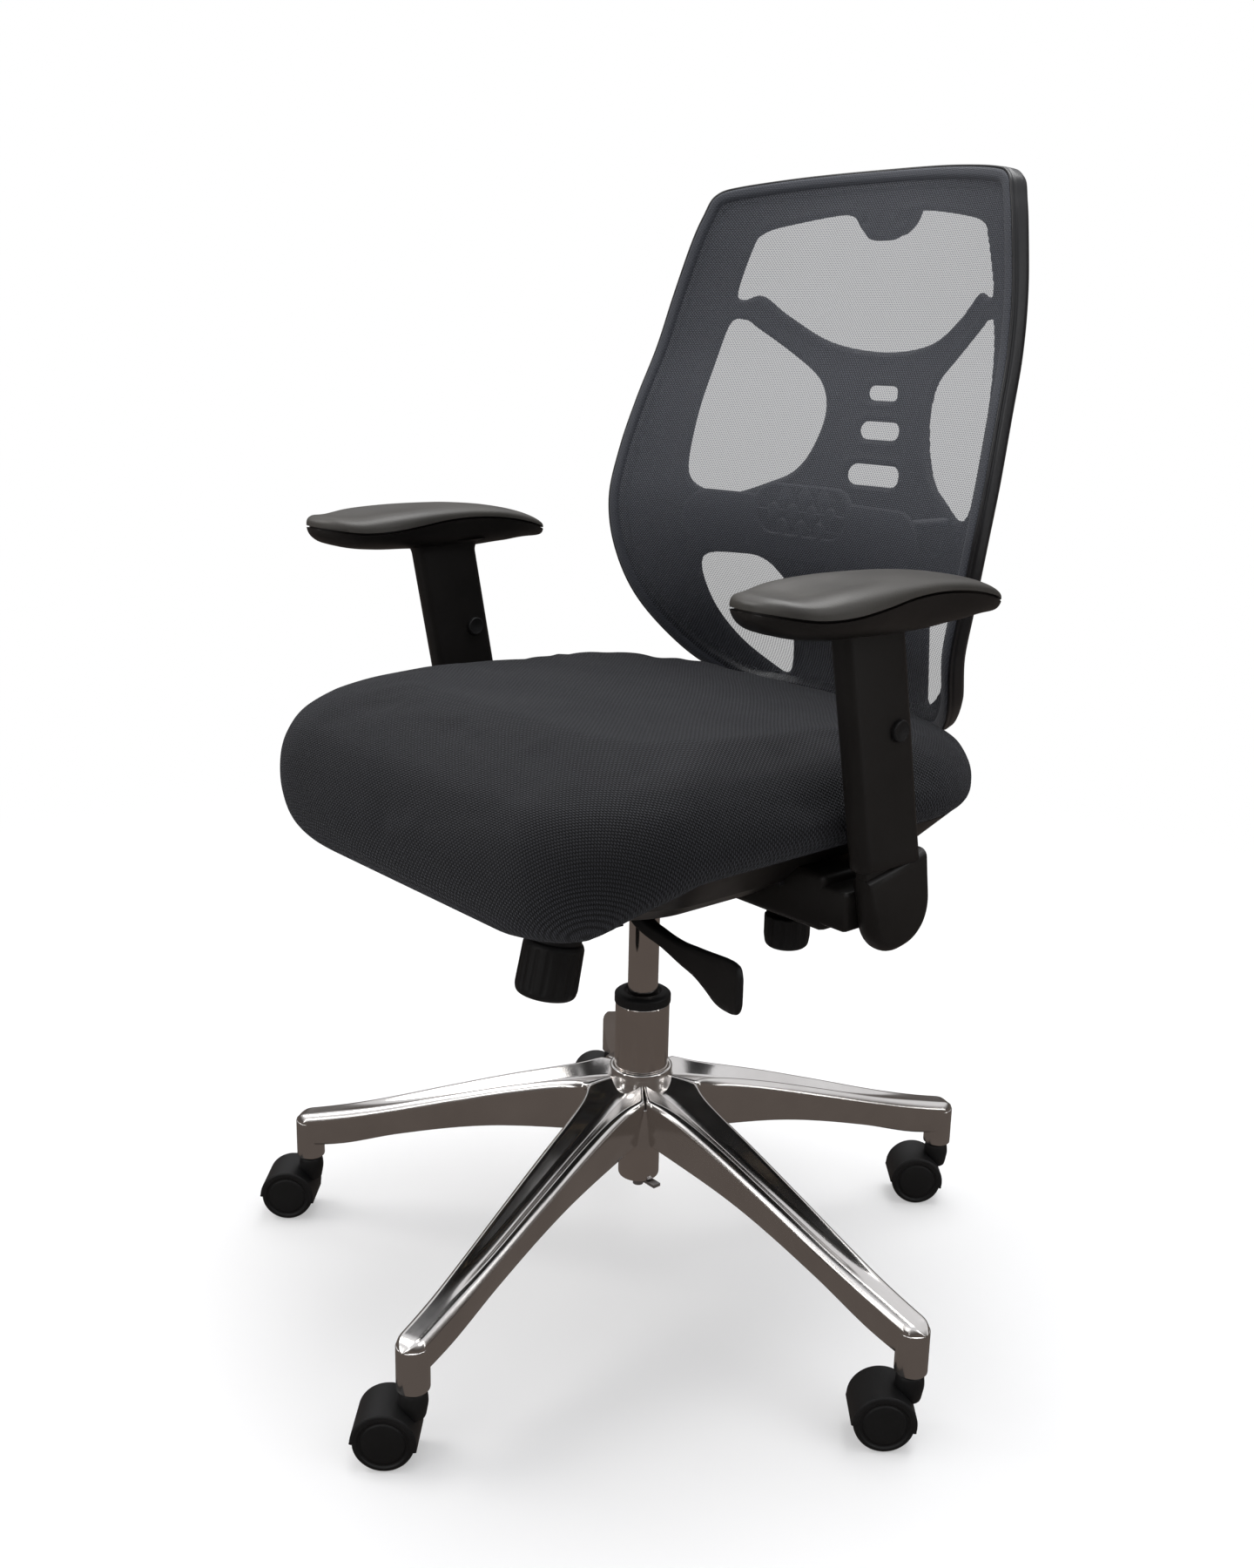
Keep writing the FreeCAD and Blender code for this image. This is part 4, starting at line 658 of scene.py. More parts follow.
def back_net():
    """Open slate mesh: opaque yarn rows over thin threads that let the light through."""
    material, tree, shader, place = new_material("back_net", (0.07, 0.075, 0.09), 0.75, Sheen_Weight=0.08,
                                                 Sheen_Roughness=0.4)
    uv = add(tree, "ShaderNodeUVMap", uv_map="UVMap").outputs["UV"]
    yarn = effect(tree, YARN, {"Rows": 640.0, "Stitches": 340.0}, {"Vector": uv})
    tint(tree, shader, yarn.outputs["Mask"], (0.040, 0.044, 0.054), (0.074, 0.080, 0.098))
    cover = add(tree, "ShaderNodeMapRange", {"To Min": 0.50, "To Max": 0.86}, {"Value": yarn.outputs["Mask"]})
    tree.links.new(cover.outputs["Result"], shader.inputs["Alpha"])
    bump = add(tree, "ShaderNodeBump", {"Strength": 0.7, "Distance": 0.0005}, {"Height": yarn.outputs["Height"]})
    tree.links.new(bump.outputs["Normal"], shader.inputs["Normal"])
    return material


def hem_knit():
    """Dense slate knit of the hem, its stitches on Object coordinates."""
    material, tree, shader, place = new_material("hem_knit", (0.05, 0.055, 0.07), 0.8, Sheen_Weight=0.10,
                                                 Sheen_Roughness=0.4)
    flat = add(tree, "ShaderNodeMapping", {"Rotation": (math.pi / 2, 0, 0)}, {"Vector": place})
    yarn = effect(tree, YARN, {"Rows": 640.0, "Stitches": 340.0}, {"Vector": flat.outputs[0]})
    tint(tree, shader, yarn.outputs["Mask"], (0.024, 0.027, 0.035), (0.046, 0.050, 0.062))
    bump = add(tree, "ShaderNodeBump", {"Strength": 0.6, "Distance": 0.0004}, {"Height": yarn.outputs["Height"]})
    tree.links.new(bump.outputs["Normal"], shader.inputs["Normal"])
    return material


def plywood():
    """Birch ply: long stretched grain."""
    material, tree, shader, place = new_material("plywood", (0.45, 0.32, 0.2), 0.6)
    stretch = add(tree, "ShaderNodeMapping", {"Scale": (3.0, 60.0, 60.0)}, {"Vector": place})
    drifting(tree, shader, stretch.outputs[0], 3.0, 0.5, 0.7, (0.42, 0.29, 0.17), (0.56, 0.42, 0.27))
    return material


MATERIALS = {
    "polished_aluminium": polished_metal("polished_aluminium", (0.80, 0.78, 0.76), (0.70, 0.675, 0.655), 0.12, 0.22),
    "chrome": polished_metal("chrome", (0.80, 0.76, 0.73), (0.72, 0.68, 0.65), 0.06, 0.13),
    "steel": polished_metal("zinc_steel", (0.50, 0.50, 0.51), (0.40, 0.40, 0.41), 0.3, 0.45),
    "painted_steel": moulded_plastic("black_powder_coat", (0.010, 0.010, 0.011), (0.015, 0.015, 0.016), 0.42, 0.55,
                                     1500.0, 0.00008, Specular_IOR_Level=0.3),
    "black_nylon": moulded_plastic("black_nylon", (0.0050, 0.0050, 0.0054), (0.0080, 0.0078, 0.0078), 0.42, 0.56,
                                   1300.0, 0.00006, Specular_IOR_Level=0.28),
    "black_shell": moulded_plastic("black_shell", (0.0062, 0.0054, 0.0050), (0.0090, 0.0078, 0.0070), 0.34, 0.48,
                                   1100.0, 0.00005, Specular_IOR_Level=0.28),
    "black_frame": moulded_plastic("black_frame", (0.0060, 0.0062, 0.0070), (0.0090, 0.0092, 0.0105), 0.28, 0.40,
                                   1100.0, 0.00004, Specular_IOR_Level=0.35),
    "wheel_nylon": moulded_plastic("wheel_nylon", (0.0045, 0.0045, 0.0047), (0.0070, 0.0070, 0.0070), 0.45, 0.6,
                                   1300.0, 0.00006, Specular_IOR_Level=0.28),
    "lattice": moulded_plastic("lattice_plastic", (0.014, 0.0155, 0.020), (0.020, 0.022, 0.027), 0.4, 0.55),
    "lumbar_plastic": moulded_plastic("lumbar_plastic", (0.020, 0.023, 0.031), (0.028, 0.031, 0.040), 0.35, 0.5),
    "pad_skin": moulded_plastic("pad_skin", (0.030, 0.028, 0.025), (0.042, 0.039, 0.034), 0.40, 0.52, 700.0,
                                0.00008, Specular_IOR_Level=0.4),
    "plywood": plywood(),
    "seat_fabric": seat_knit(),
    "mesh_fabric": back_net(),
    "hem_knit": hem_knit(),
}


# ------------------------------------------------------------------ base and column
def leg():
    """One leg along +X. Each station is a ten-cornered outline, rounded: a flat underside, slanted sides, two
    ridges and a groove. Near the hub the half width flares until it meets its neighbours' sector plane, and past
    the socket's axis it follows the socket's circle."""
    inner = np.linspace(0.022, LEG_LENGTH - 0.002, 56)
    tip = LEG_LENGTH + SOCKET_R * np.sin(np.linspace(0, 1.45, 9))
    x = np.concatenate([inner, tip])
    half, = through(LEG_HALF, x)
    flare = 0.0130 * np.exp(-np.maximum(x - 0.036, 0) / 0.016)
    beyond = np.clip((x - LEG_LENGTH) / SOCKET_R, 0, 1)
    half = half * np.sqrt(1 - beyond**2)
    sector = x * math.tan(math.pi / LEG_COUNT)
    low_half = np.minimum(half * 0.74, sector)
    waist_half = np.minimum(half * 0.94 + 0.2 * flare, sector)
    half = np.minimum(half + flare, sector)
    top, = through(LEG_TOP, x)
    top = top - 0.0060 * beyond**3
    under, = through(LEG_UNDER, x)
    groove, = through(GROOVE_DEPTH, x)
    near = np.exp(-np.maximum(x - 0.05, 0) / 0.03)
    ridge = half * (0.66 + 0.26 * near)
    valley = np.minimum(0.0035, half * 0.3)
    shoulder = top - 0.0055 - 0.002 * beyond
    waist = under + 0.35 * (top - under)
    half_section = [(np.zeros_like(x), under), (low_half, under), (waist_half, waist), (half, shoulder), (ridge, top),
                    (valley, top - groove)]
    right = [np.stack([u, v], -1) for u, v in half_section]
    left = [np.stack([-u, v], -1) for u, v in reversed(half_section[1:])]
    outline = np.stack(right + left, 1)
    radii = [0.001, 0.003, 0.012, 0.004, 0.0035, 0.0025, 0.0025, 0.0035, 0.004, 0.012, 0.003]
    section = softened(outline, radii, 5)
    rings = np.concatenate([np.broadcast_to(x[:, None, None], (*section.shape[:2], 1)), section], -1)
    return loft(rings)


def base_star():
    """Five legs and their caster sockets, a fillet in each corner between two legs, and the bored hub."""
    low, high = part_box("base_star")
    shells = []
    socket = turned([(0, low.z), (SOCKET_R, low.z), (SOCKET_R, 0.1000), (0, 0.1000)], 0.0012,
                    (LEG_LENGTH, 0, 0), cols=48)
    for index in range(LEG_COUNT):
        turn = 2 * math.pi * index / LEG_COUNT
        columns = Matrix.Rotation(turn, 3, "Z").transposed()
        shells += [placed(leg(), columns), placed(socket, columns)]
    for index in range(LEG_COUNT):
        turn = 2 * math.pi * (index + 0.5) / LEG_COUNT
        centre = (FILLET_CIRCLE_R * math.cos(turn), FILLET_CIRCLE_R * math.sin(turn), 0)
        shells.append(turned(FILLET, 0.002, centre, cols=40))
    shells.append(tube([(0.0252, 0.131), (0.0275, 0.131), (0.0280, 0.150), (0.0310, 0.168), (0.0315, 0.1880),
                        (0.0296, 0.1955), (0.0290, high.z), (0.0252, high.z)], 0.0025, cols=96))
    piece("star_base", shells, MATERIALS["polished_aluminium"], "base", ["base_star"], sharp=50)


def column():
    """Chrome tube with its black bush, and the gas cylinder that slides in it."""
    tube_low, tube_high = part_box("column_tube")
    outer = tube_high.x
    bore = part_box("gas_cylinder")[1].x + 0.0001
    piece("column_sleeve", [tube([
        (0.0060, tube_low.z), (0.0180, tube_low.z), (0.0192, tube_low.z + 0.002), (0.0192, 0.121),
        (0.0205, 0.125), (outer, 0.136), (outer, tube_high.z),
        (outer - 0.0034, tube_high.z), (outer - 0.0034, 0.140), (0.0160, 0.122), (0.0160, tube_low.z + 0.004),
        (0.0060, tube_low.z + 0.004),
    ], 0.0012, cols=96)], MATERIALS["chrome"], "base", ["column_tube"], sharp=50)
    bush_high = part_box("column_bush")[1]
    rim = bush_high.x
    piece("column_cap", [tube([
        (bore, tube_high.z - 0.02), (outer - 0.0036, tube_high.z - 0.02), (outer - 0.0036, tube_high.z),
        (rim, tube_high.z), (rim, bush_high.z - 0.003), (rim - 0.003, bush_high.z - 0.0008),
        (bore + 0.0035, bush_high.z), (bore + 0.0015, bush_high.z - 0.0025), (bore, bush_high.z - 0.0025),
    ], 0.001, cols=96)], MATERIALS["black_nylon"], "base", ["column_bush"], sharp=50)
    low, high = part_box("gas_cylinder")
    piece("gas_lift", [turned([
        (0.0055, low.z), (high.x - 0.001, low.z), (high.x, low.z + 0.002), (high.x, high.z), (0.0035, high.z),
    ], 0.0008, cols=72)], MATERIALS["chrome"], "lift", ["gas_cylinder"], sharp=50)


# ------------------------------------------------------------------ casters
def caster_shells():
    """Shells of one caster in its own place: stem on the Z axis, wheels trailing along +X."""
    hub = (CASTER_TRAIL, 0, WHEEL_R)
    wheels = {}
    for name, side in (("a", 1), ("b", -1)):
        wheels[name] = [turned([
            (0.0032, 0.0045), (0.0215, 0.0045), (0.0242, 0.0062), (0.0250, 0.0105), (0.0250, 0.0165),
            (0.0242, 0.0200), (0.0222, 0.0213), (0.0205, 0.0213), (0.0196, 0.0200), (0.0178, 0.0198),
            (0.0170, 0.0209), (0.0100, 0.0213), (0, 0.0214),
        ], 0.0012, hub, (0, side, 0), cols=72)]
    angle = np.linspace(math.radians(-2), math.radians(196), 40)
    rings = []
    for a in angle:
        close = min(1.0, (a - angle[0]) / 0.10 + 0.55, (angle[-1] - a) / 0.10 + 0.55)
        half_wide = 0.0214 * (0.9 + 0.1 * close)
        outline = softened(rectangle(half_wide, 0.0014 + 0.0002 * close), 0.0012, 4)
        outline[:, 1] -= 0.0045 * (np.abs(outline[:, 0]) / 0.0214) ** 6
        r = 0.0276 + outline[:, 1]
        rings.append(np.column_stack([hub[0] + r * math.cos(a), outline[:, 0], hub[2] + r * math.sin(a)]))
    hood = loft(rings)
    neck = turned([(0, 0.036), (0.0095, 0.036), (0.0120, 0.050), (0.0112, 0.0575), (0.0100, 0.0602), (0, 0.0602)],
                  0.003, cols=48)
    web = turned([(0, -0.0042), (0.0215, -0.0042), (0.0215, 0.0042), (0, 0.0042)], 0.0012, hub, (0, 1, 0), cols=48)
    stem = turned([(0, 0.045), (0.0055, 0.045), (0.0055, 0.0605), (0.009, 0.0605), (0.009, 0.0617), (0.0055, 0.0617),
                   (0.0055, 0.096), (0.004, 0.0978), (0, 0.0978)], 0.0004, cols=32)
    return {"housing": [hood, neck, web], "stem": [stem], "wheel_a": wheels["a"], "wheel_b": wheels["b"]}


def casters():
    """Five casters, one under each leg, all trailing the same way."""
    shells = caster_shells()
    finish = {"housing": "black_nylon", "stem": "steel", "wheel_a": "wheel_nylon", "wheel_b": "wheel_nylon"}
    for index in range(LEG_COUNT):
        turn = 2 * math.pi * index / LEG_COUNT
        origin = (LEG_LENGTH * math.cos(turn), LEG_LENGTH * math.sin(turn), 0)
        columns = Matrix.Rotation(CASTER_HEADING, 3, "Z").transposed()
        number = index + 1
        for part, made in shells.items():
            body = "caster_%d" % number if part in ("housing", "stem") else "%s_%d" % (part, number)
            shell_set = [placed(shell, columns, origin) for shell in made]
            piece("caster_%s_shell_%d" % (part, number), shell_set, MATERIALS[finish[part]], body,
                  ["caster_%s_%d" % (part, number)], sharp=50)


# ------------------------------------------------------------------ levers and knobs
def tension_knob():
    """Grip with finger grooves, its neck, leaned back at the top."""
    lean = math.radians(12.3)
    axis = (0, math.sin(lean), math.cos(lean))
    profile = [(0, 0), (0.021, 0.0), (0.0262, 0.0025), (0.0280, 0.008), (0.0272, 0.0465), (0.0255, 0.050),
               (0.0238, 0.0508), (0.0236, 0.064), (0.0080, 0.0645), (0.0080, 0.097), (0, 0.098)]
    piece("tension_grip", [turned(profile, 0.003, (0, -0.114, 0.300), axis, 192, 16, 0.0013, (0.006, 0.046), 6)],
          MATERIALS["black_nylon"], "tension_knob", ["tension_knob"], sharp=60)


def height_lever():
    """Barrel on its pin, the arm over the valve, and a paddle that stands on edge and deepens to a squared end.

    Each station of the paddle is a rounded octagon square to X, whose middle height, half depth and half height
    follow the table."""
    barrel = turned([(0.0031, -0.011), (0.0065, -0.011), (0.0065, 0.011), (0.0031, 0.011)], 0.0008,
                    (0.052, -0.072, 0.4083), (0, 1, 0), cols=40)
    arm = slab(softened([(0.056, -0.078), (0.056, -0.062), (0.041, -0.062), (0.006, 0.005), (-0.005, 0.005),
                         (-0.005, -0.005), (0.033, -0.078)], 0.002, 4), 0.0019, 0.0008)
    arm = placed(arm, np.eye(3), (0, 0, 0.4103))
    x = np.concatenate([np.linspace(0.046, 0.228, 56), 0.228 + 0.0105 * np.sin(np.linspace(0.1, 1, 10) * np.pi / 2)])
    rows = np.array(PADDLE)
    past_neck = np.clip((rows[:, 0] - 0.06) / 0.08, 0, 1)
    rows[:, 0] += PADDLE_OUT * past_neck
    rows[:, 2] += PADDLE_UP * past_neck
    y, z, half_y, half_z = through(rows, x)
    corners = np.stack([np.stack([x, y + u * half_y, z + v * half_z], -1) for u, v in
                        ((1, 0.72), (0.55, 1), (-0.55, 1), (-1, 0.72), (-1, -0.72), (-0.55, -1), (0.55, -1),
                         (1, -0.72))], 1)
    paddle = loft(softened(corners, 0.003, 4))
    piece("lift_paddle", [barrel, arm, paddle], MATERIALS["black_nylon"], "height_lever", ["height_lever"],
          sharp=60)


def tilt_lock():
    """Shaft with a cam inside the housing and a flat thumb tab outside."""
    low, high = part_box("tilt_lock_lever")
    centre_y = (low.y + high.y) / 2
    shaft = turned([(0, 0), (0.005, 0), (0.005, 0.145), (0, 0.145)], 0.0005, (-0.050, centre_y, LOCK_Z),
                   (-1, 0, 0), cols=32)
    cam = turned([(0, 0), (0.009, 0), (0.009, 0.0128), (0, 0.0128)], 0.0008, (-0.0502, centre_y, LOCK_Z),
                 (-1, 0, 0), cols=32)
    half = (high.y - low.y) / 2
    outline = softened([(low.x, centre_y - half), (low.x + 0.050, centre_y - half * 0.62),
                        (low.x + 0.050, centre_y + half * 0.62), (low.x, centre_y + half)], 0.011, 7)
    tab = placed(slab(outline, 0.0038, 0.0022), np.eye(3), (0, 0, LOCK_Z))
    piece("lock_lever", [shaft, cam, tab], MATERIALS["black_nylon"], "tilt_lock", ["tilt_lock_lever"],
          sharp=60)


# ------------------------------------------------------------------ seat
def rear_drop(y):
    """How far the crown of the cushion falls towards its rear edge."""
    return SEAT_REAR_DROP * np.clip((y + 0.06) / 0.26, 0, 1)


def cushion_form(crown):
    """Closed form of the cushion up to a height. Columns run round it and rows run from the middle of the
    underside, out to its edge, up the side and over the crown to the middle. Each row is a rounded rectangle
    whose size follows the section table at that height, and the lowest 20 mm tucks in by a quarter circle."""
    corner = np.array([(1, 1), (-1, 1), (-1, -1), (1, -1)], float)
    turn = np.linspace(0, np.pi / 2, 26)[None, :] + (np.arange(4) * np.pi / 2)[:, None]
    unit = np.stack([np.cos(turn), np.sin(turn)], -1)
    radius = np.where(corner[:, 1] > 0, SEAT_REAR_ROUND, SEAT_FRONT_ROUND)[:, None]
    middle = np.array([0, (SEAT_FRONT + SEAT_REAR) / 2])

    def outline(side, front, rear, less):
        """Rounded rectangles' points, one row per corner; each point has its own insets."""
        side, front, rear, less = (np.broadcast_to(a, unit.shape[0] * unit.shape[1]).reshape(unit.shape[:2])
                                   for a in (side, front, rear, less))
        bend = radius - less
        x = corner[:, :1] * (SEAT_HALF + 0.001 - side - bend) + bend * unit[..., 0]
        y = np.where(corner[:, 1:] > 0, SEAT_REAR - rear - bend, SEAT_FRONT - 0.002 + front + bend)
        return np.stack([x, y + bend * unit[..., 1]], -1).reshape(-1, 2)

    widest = outline(0, 0, 0, 0)
    forward = np.clip((-widest[:, 1] - 0.13) / 0.09, 0, 1)
    outward = np.clip((np.abs(widest[:, 0]) - 0.13) / 0.09, 0, 1)
    under = seat_underside(widest[:, 1]) + forward * (0.013 * outward - 0.004)
    lip = SEAT_UNDER[0][1]
    rings = []
    for level in np.concatenate([np.linspace(0, 0.28, 12), np.linspace(0.3, 1, 34)]):
        z = under + level * (crown - rear_drop(widest[:, 1]) - under)
        share = (z - lip) / (SEAT_CROWN - lip)
        full = outline(*through(CUSHION_TABLE, share))
        low = np.clip(1 - (z - under) / 0.020, 0, 1)
        inward = SEAT_EDGE_TUCK * (1 - np.sqrt(1 - low**2))
        away = full - middle
        away /= np.linalg.norm(away, axis=1)[:, None]
        rings.append(np.column_stack([full - away * inward[:, None], z]))
    first, last = rings[0], rings[-1]
    below, above = [], []
    for share in np.linspace(0.06, 0.94, 12):
        flat = middle + (first[:, :2] - middle) * share
        below.append(np.column_stack([flat, seat_underside(flat[:, 1])]))
        flat = middle + (last[:, :2] - middle) * (1 - share)
        above.append(np.column_stack([flat, crown - rear_drop(flat[:, 1]) - 0.004 * (1 - (1 - share)**2)]))
    return np.array(below + rings + above)


def seat_underside(y):
    """Height of the cushion's underside at a place from front to rear."""
    return through(SEAT_UNDER, y)[0]


def seat_cushion():
    """Cushion: remeshed, puffed a little by a pressure simulation with its underside held, then subdivided."""
    rings = cushion_form(SEAT_CROWN - 0.0005)
    obj = piece("seat_cushion_cover", [loft(rings)], MATERIALS["seat_fabric"], "seat", ["seat_cushion"])
    remesh(obj, 0.006)
    puff(obj, pressure=2.0, cap=0.0035)
    smooth(obj, 4)
    subdivide(obj)
    keep_over_board(obj)
    set_uv(obj, draped_uv(obj))


def remesh(obj, voxel):
    """Even quads over the piece's skin."""
    modifier = obj.modifiers.new("even", "REMESH")
    modifier.mode = "VOXEL"
    modifier.voxel_size = voxel
    modifier.use_smooth_shade = True
    apply_modifiers(obj)


def smooth(obj, times):
    """Moves each point towards its neighbours' middle."""
    modifier = obj.modifiers.new("smooth", "SMOOTH")
    modifier.factor = 0.5
    modifier.iterations = times
    apply_modifiers(obj)


def subdivide(obj):
    """One level of smooth subdivision."""
    modifier = obj.modifiers.new("finer", "SUBSURF")
    modifier.levels = 1
    modifier.render_levels = 1
    apply_modifiers(obj)


def apply_modifiers(obj):
    """Bakes the modifiers into the mesh."""
    graph = bpy.context.evaluated_depsgraph_get()
    made = bpy.data.meshes.new_from_object(obj.evaluated_get(graph), depsgraph=graph)
    obj.modifiers.clear()
    old = obj.data
    obj.data = made
    made.name = old.name + "_made"
    made.shade_smooth()


def puff(obj, pressure, cap):
    """Swells the piece as cloth under pressure for 20 frames, its lowest skin pinned, and caps each point's move."""
    start = points_of(obj)
    under = seat_underside(start[:, 1])
    held = obj.vertex_groups.new(name="held")
    low = np.nonzero(start[:, 2] < under + 0.012)[0].tolist()
    held.add(low, 1.0, "REPLACE")
    scene = bpy.context.scene
    cloth = obj.modifiers.new("cloth", "CLOTH")
    cloth.settings.use_pressure = True
    cloth.settings.uniform_pressure_force = pressure
    cloth.settings.effector_weights.gravity = 0
    cloth.settings.vertex_group_mass = "held"
    cloth.settings.quality = 4
    cloth.settings.tension_stiffness = 30
    cloth.settings.compression_stiffness = 30
    cloth.settings.bending_stiffness = 4
    cloth.collision_settings.use_collision = False
    cloth.point_cache.frame_start = 1
    cloth.point_cache.frame_end = 20
    for number in range(1, 21):
        scene.frame_set(number)
    graph = bpy.context.evaluated_depsgraph_get()
    swollen = obj.evaluated_get(graph).data
    moved = np.empty(len(swollen.vertices) * 3, np.float32)
    swollen.vertices.foreach_get("co", moved)
    move = moved.reshape(-1, 3) - start
    length = np.linalg.norm(move, axis=1)
    move *= np.minimum(1, cap / np.maximum(length, 1e-9))[:, None]
    obj.modifiers.clear()
    obj.vertex_groups.clear()
    obj.data.vertices.foreach_set("co", (start + move).astype(np.float32).ravel())
    obj.data.update()
    scene.frame_set(1)


def keep_over_board(obj):
    """Lifts points that sank into the shell back onto the seat's underside curve."""
    points = points_of(obj)
    under = seat_underside(points[:, 1])
    points[:, 2] = np.maximum(points[:, 2], under)
    obj.data.vertices.foreach_set("co", points.astype(np.float32).ravel())
    obj.data.update()


def draped_uv(obj):
    """Fabric coordinates in metres: the plan place, moved outwards by how far the skin is below the crown."""
    points = points_of(obj)
    low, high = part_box("seat_cushion")
    middle = np.array([(low.x + high.x) / 2, (low.y + high.y) / 2])
    half = np.array([(high.x - low.x) / 2, (high.y - low.y) / 2])
    flat = (points[:, :2] - middle) / half
    outward = np.sign(flat) * np.abs(flat) ** 3
    outward /= np.maximum(np.linalg.norm(outward, axis=1), 0.25)[:, None]
    return points[:, :2] + outward * (high.z - points[:, 2:3])


# ------------------------------------------------------------------ arms
def leaned(shell):
    """Upright's own straight frame leaned forward about its foot."""
    points, faces = shell
    turn = np.array(Matrix.Rotation(ARM_LEAN, 3, "X"))
    foot = np.array(ARM_FOOT)
    return (points - foot) @ turn.T + foot, faces


def upright_rings(side, z, half_thick, half_wide, radius):
    """Rounded rectangles up the leaned upright, level ones, moved forward by the tangent of the lean as they rise."""
    corners = np.stack([np.stack([a * half_thick, b * half_wide], -1) for a, b in
                        ((1, 1), (-1, 1), (-1, -1), (1, -1))], 1)
    section = softened(corners, radius, 7)
    z = np.asarray(z, float)
    rings = np.empty((*section.shape[:2], 3))
    rings[..., 0] = side * ARM_X + section[..., 0]
    rings[..., 1] = ARM_FOOT.y - math.tan(ARM_LEAN) * (z[:, None] - ARM_FOOT.z) + section[..., 1]
    rings[..., 2] = z[:, None]
    return rings


def arm_sleeve(name, side):
    """Upper tube of the upright. Its top flares by a quarter circle into the pad's underside."""
    seam = ARM_SEAM_Z + 0.0004
    top, flare = 0.6640, 0.013
    rise = np.concatenate([[0, 0.0004, 0.0014], np.linspace(0.010, top - flare - seam, 20),
                           top - seam - flare * np.cos(np.linspace(0.1, 1, 12) * np.pi / 2)])
    z = seam + rise
    lip = 0.0012 * np.clip(1 - rise / 0.0014, 0, 1)**2
    grow = flare * (1 - np.sqrt(np.clip(1 - np.clip((z - top + flare) / flare, 0, 1)**2, 0, 1))) - lip
    rings = upright_rings(side, z, 0.0098 + 0.5 * grow, 0.0340 + grow, 0.0160)
    piece("arm_sleeve_shell_" + name, [loft(rings)], MATERIALS["black_shell"], "arm_top_" + name,
          ["arm_sleeve_" + name], sharp=50)


def arm_bracket(name, side):
    """Foot of the upright with a rounded heel, the slide bar, its clamp block and the post inside the sleeve."""
    low_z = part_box("arm_bracket_" + name)[0].z
    heel_y = ARM_FOOT.y + 0.006
    angle = np.linspace(math.pi, 2 * math.pi, 33)
    heel = np.column_stack([heel_y + 0.0360 * np.sign(np.cos(angle)) * np.abs(np.cos(angle))**0.85,
                            low_z - 0.007 + 0.036 * (1 + np.sin(angle))])
    outline = np.concatenate([heel, [(heel_y + 0.0350, ARM_SEAM_Z), (heel_y - 0.0350, ARM_SEAM_Z)]])
    foot = placed(slab(outline, 0.0100, 0.0090, 7), [(0, 1, 0), (0, 0, 1), (1, 0, 0)], (side * ARM_X, 0, 0))
    z = np.array([0.460, 0.598, 0.600])
    post = loft(upright_rings(side, z, np.array([0.0054, 0.0054, 0.0046]), np.array([0.0294, 0.0294, 0.0284]), 0.003))
    x_span = sorted((side * 0.105, side * (ARM_X - 0.008)))
    block_span = sorted((side * 0.140, side * 0.242))
    bar = rounded_bar(x_span, (-0.030, 0.036), (0.418, 0.450), 0.003)
    block = rounded_bar(block_span, (-0.0305, 0.0365), (0.412, 0.458), 0.005)
    piece("arm_foot_" + name, [leaned(foot), post, bar, block], MATERIALS["black_shell"], "arm_" + name,
          ["arm_bracket_" + name], sharp=50)


def arm_button(name, side):
    """Round button with a dished face, in the upright's +X side."""
    inner = side * ARM_X + 0.0050
    shell = turned([(0, 0), (0.0088, 0), (0.0088, 0.0078), (0.0078, 0.0086), (0.0066, 0.0082), (0, 0.0072)], 0.0009,
                   (inner, ARM_FOOT.y + 0.015, 0.577), (1, 0, 0), cols=48)
    piece("height_button_" + name, [leaned(shell)], MATERIALS["black_nylon"], "arm_button_" + name,
          ["arm_button_" + name], sharp=60)


def arm_knob(name, side):
    """Fluted clamp knob under the block."""
    shell = turned([(0, 0.374), (0.0150, 0.374), (0.0178, 0.3765), (0.0190, 0.384), (0.0190, 0.4015),
                    (0.0120, 0.4020), (0.0120, 0.4115), (0.0040, 0.4115), (0.0040, 0.455), (0, 0.456)], 0.0016,
                   (side * 0.175, 0.002, 0), cols=144, flutes=12, flute_depth=0.0012, fluted=(0.377, 0.403), steps=6)
    piece("width_knob_" + name, [shell], MATERIALS["black_nylon"], "arm_knob_" + name, ["arm_knob_" + name],
          sharp=60)


def pad_half_width(y):
    """Half width of the pad: the table's width, closed at both ends by a sixth-power superellipse."""
    width, = through([row[:2] for row in PAD_TABLE], y)
    share = 2 * (y - PAD_FRONT) / (PAD_REAR - PAD_FRONT) - 1
    return width * np.sqrt(np.maximum(1 - np.abs(share)**5.5, 0))


def pad_rings(side, profile, inset=0.0):
    """Rings across the pad from front to rear, each through the (side, rise) places of a profile of the station."""
    t = (1 - np.cos(np.linspace(0.02, 0.98, 84) * np.pi)) / 2
    y = PAD_FRONT + inset + (PAD_REAR - PAD_FRONT - 2 * inset) * t
    half = np.maximum(pad_half_width(y) - inset, 0.0004)
    _, seam, rise, depth = through(PAD_TABLE, y)
    ends = np.clip(half / 0.030, 0, 1) ** 0.6
    across, height = profile(half, seam, rise * ends, depth * ends)
    rings = np.empty((*across.shape, 3))
    rings[..., 0] = side * PAD_X + across
    rings[..., 1] = PAD_FRONT + PAD_LENGTH_SHARE * (y - PAD_FRONT)[:, None]
    rings[..., 2] = height - PAD_REAR_DROP * t[:, None]
    return rings


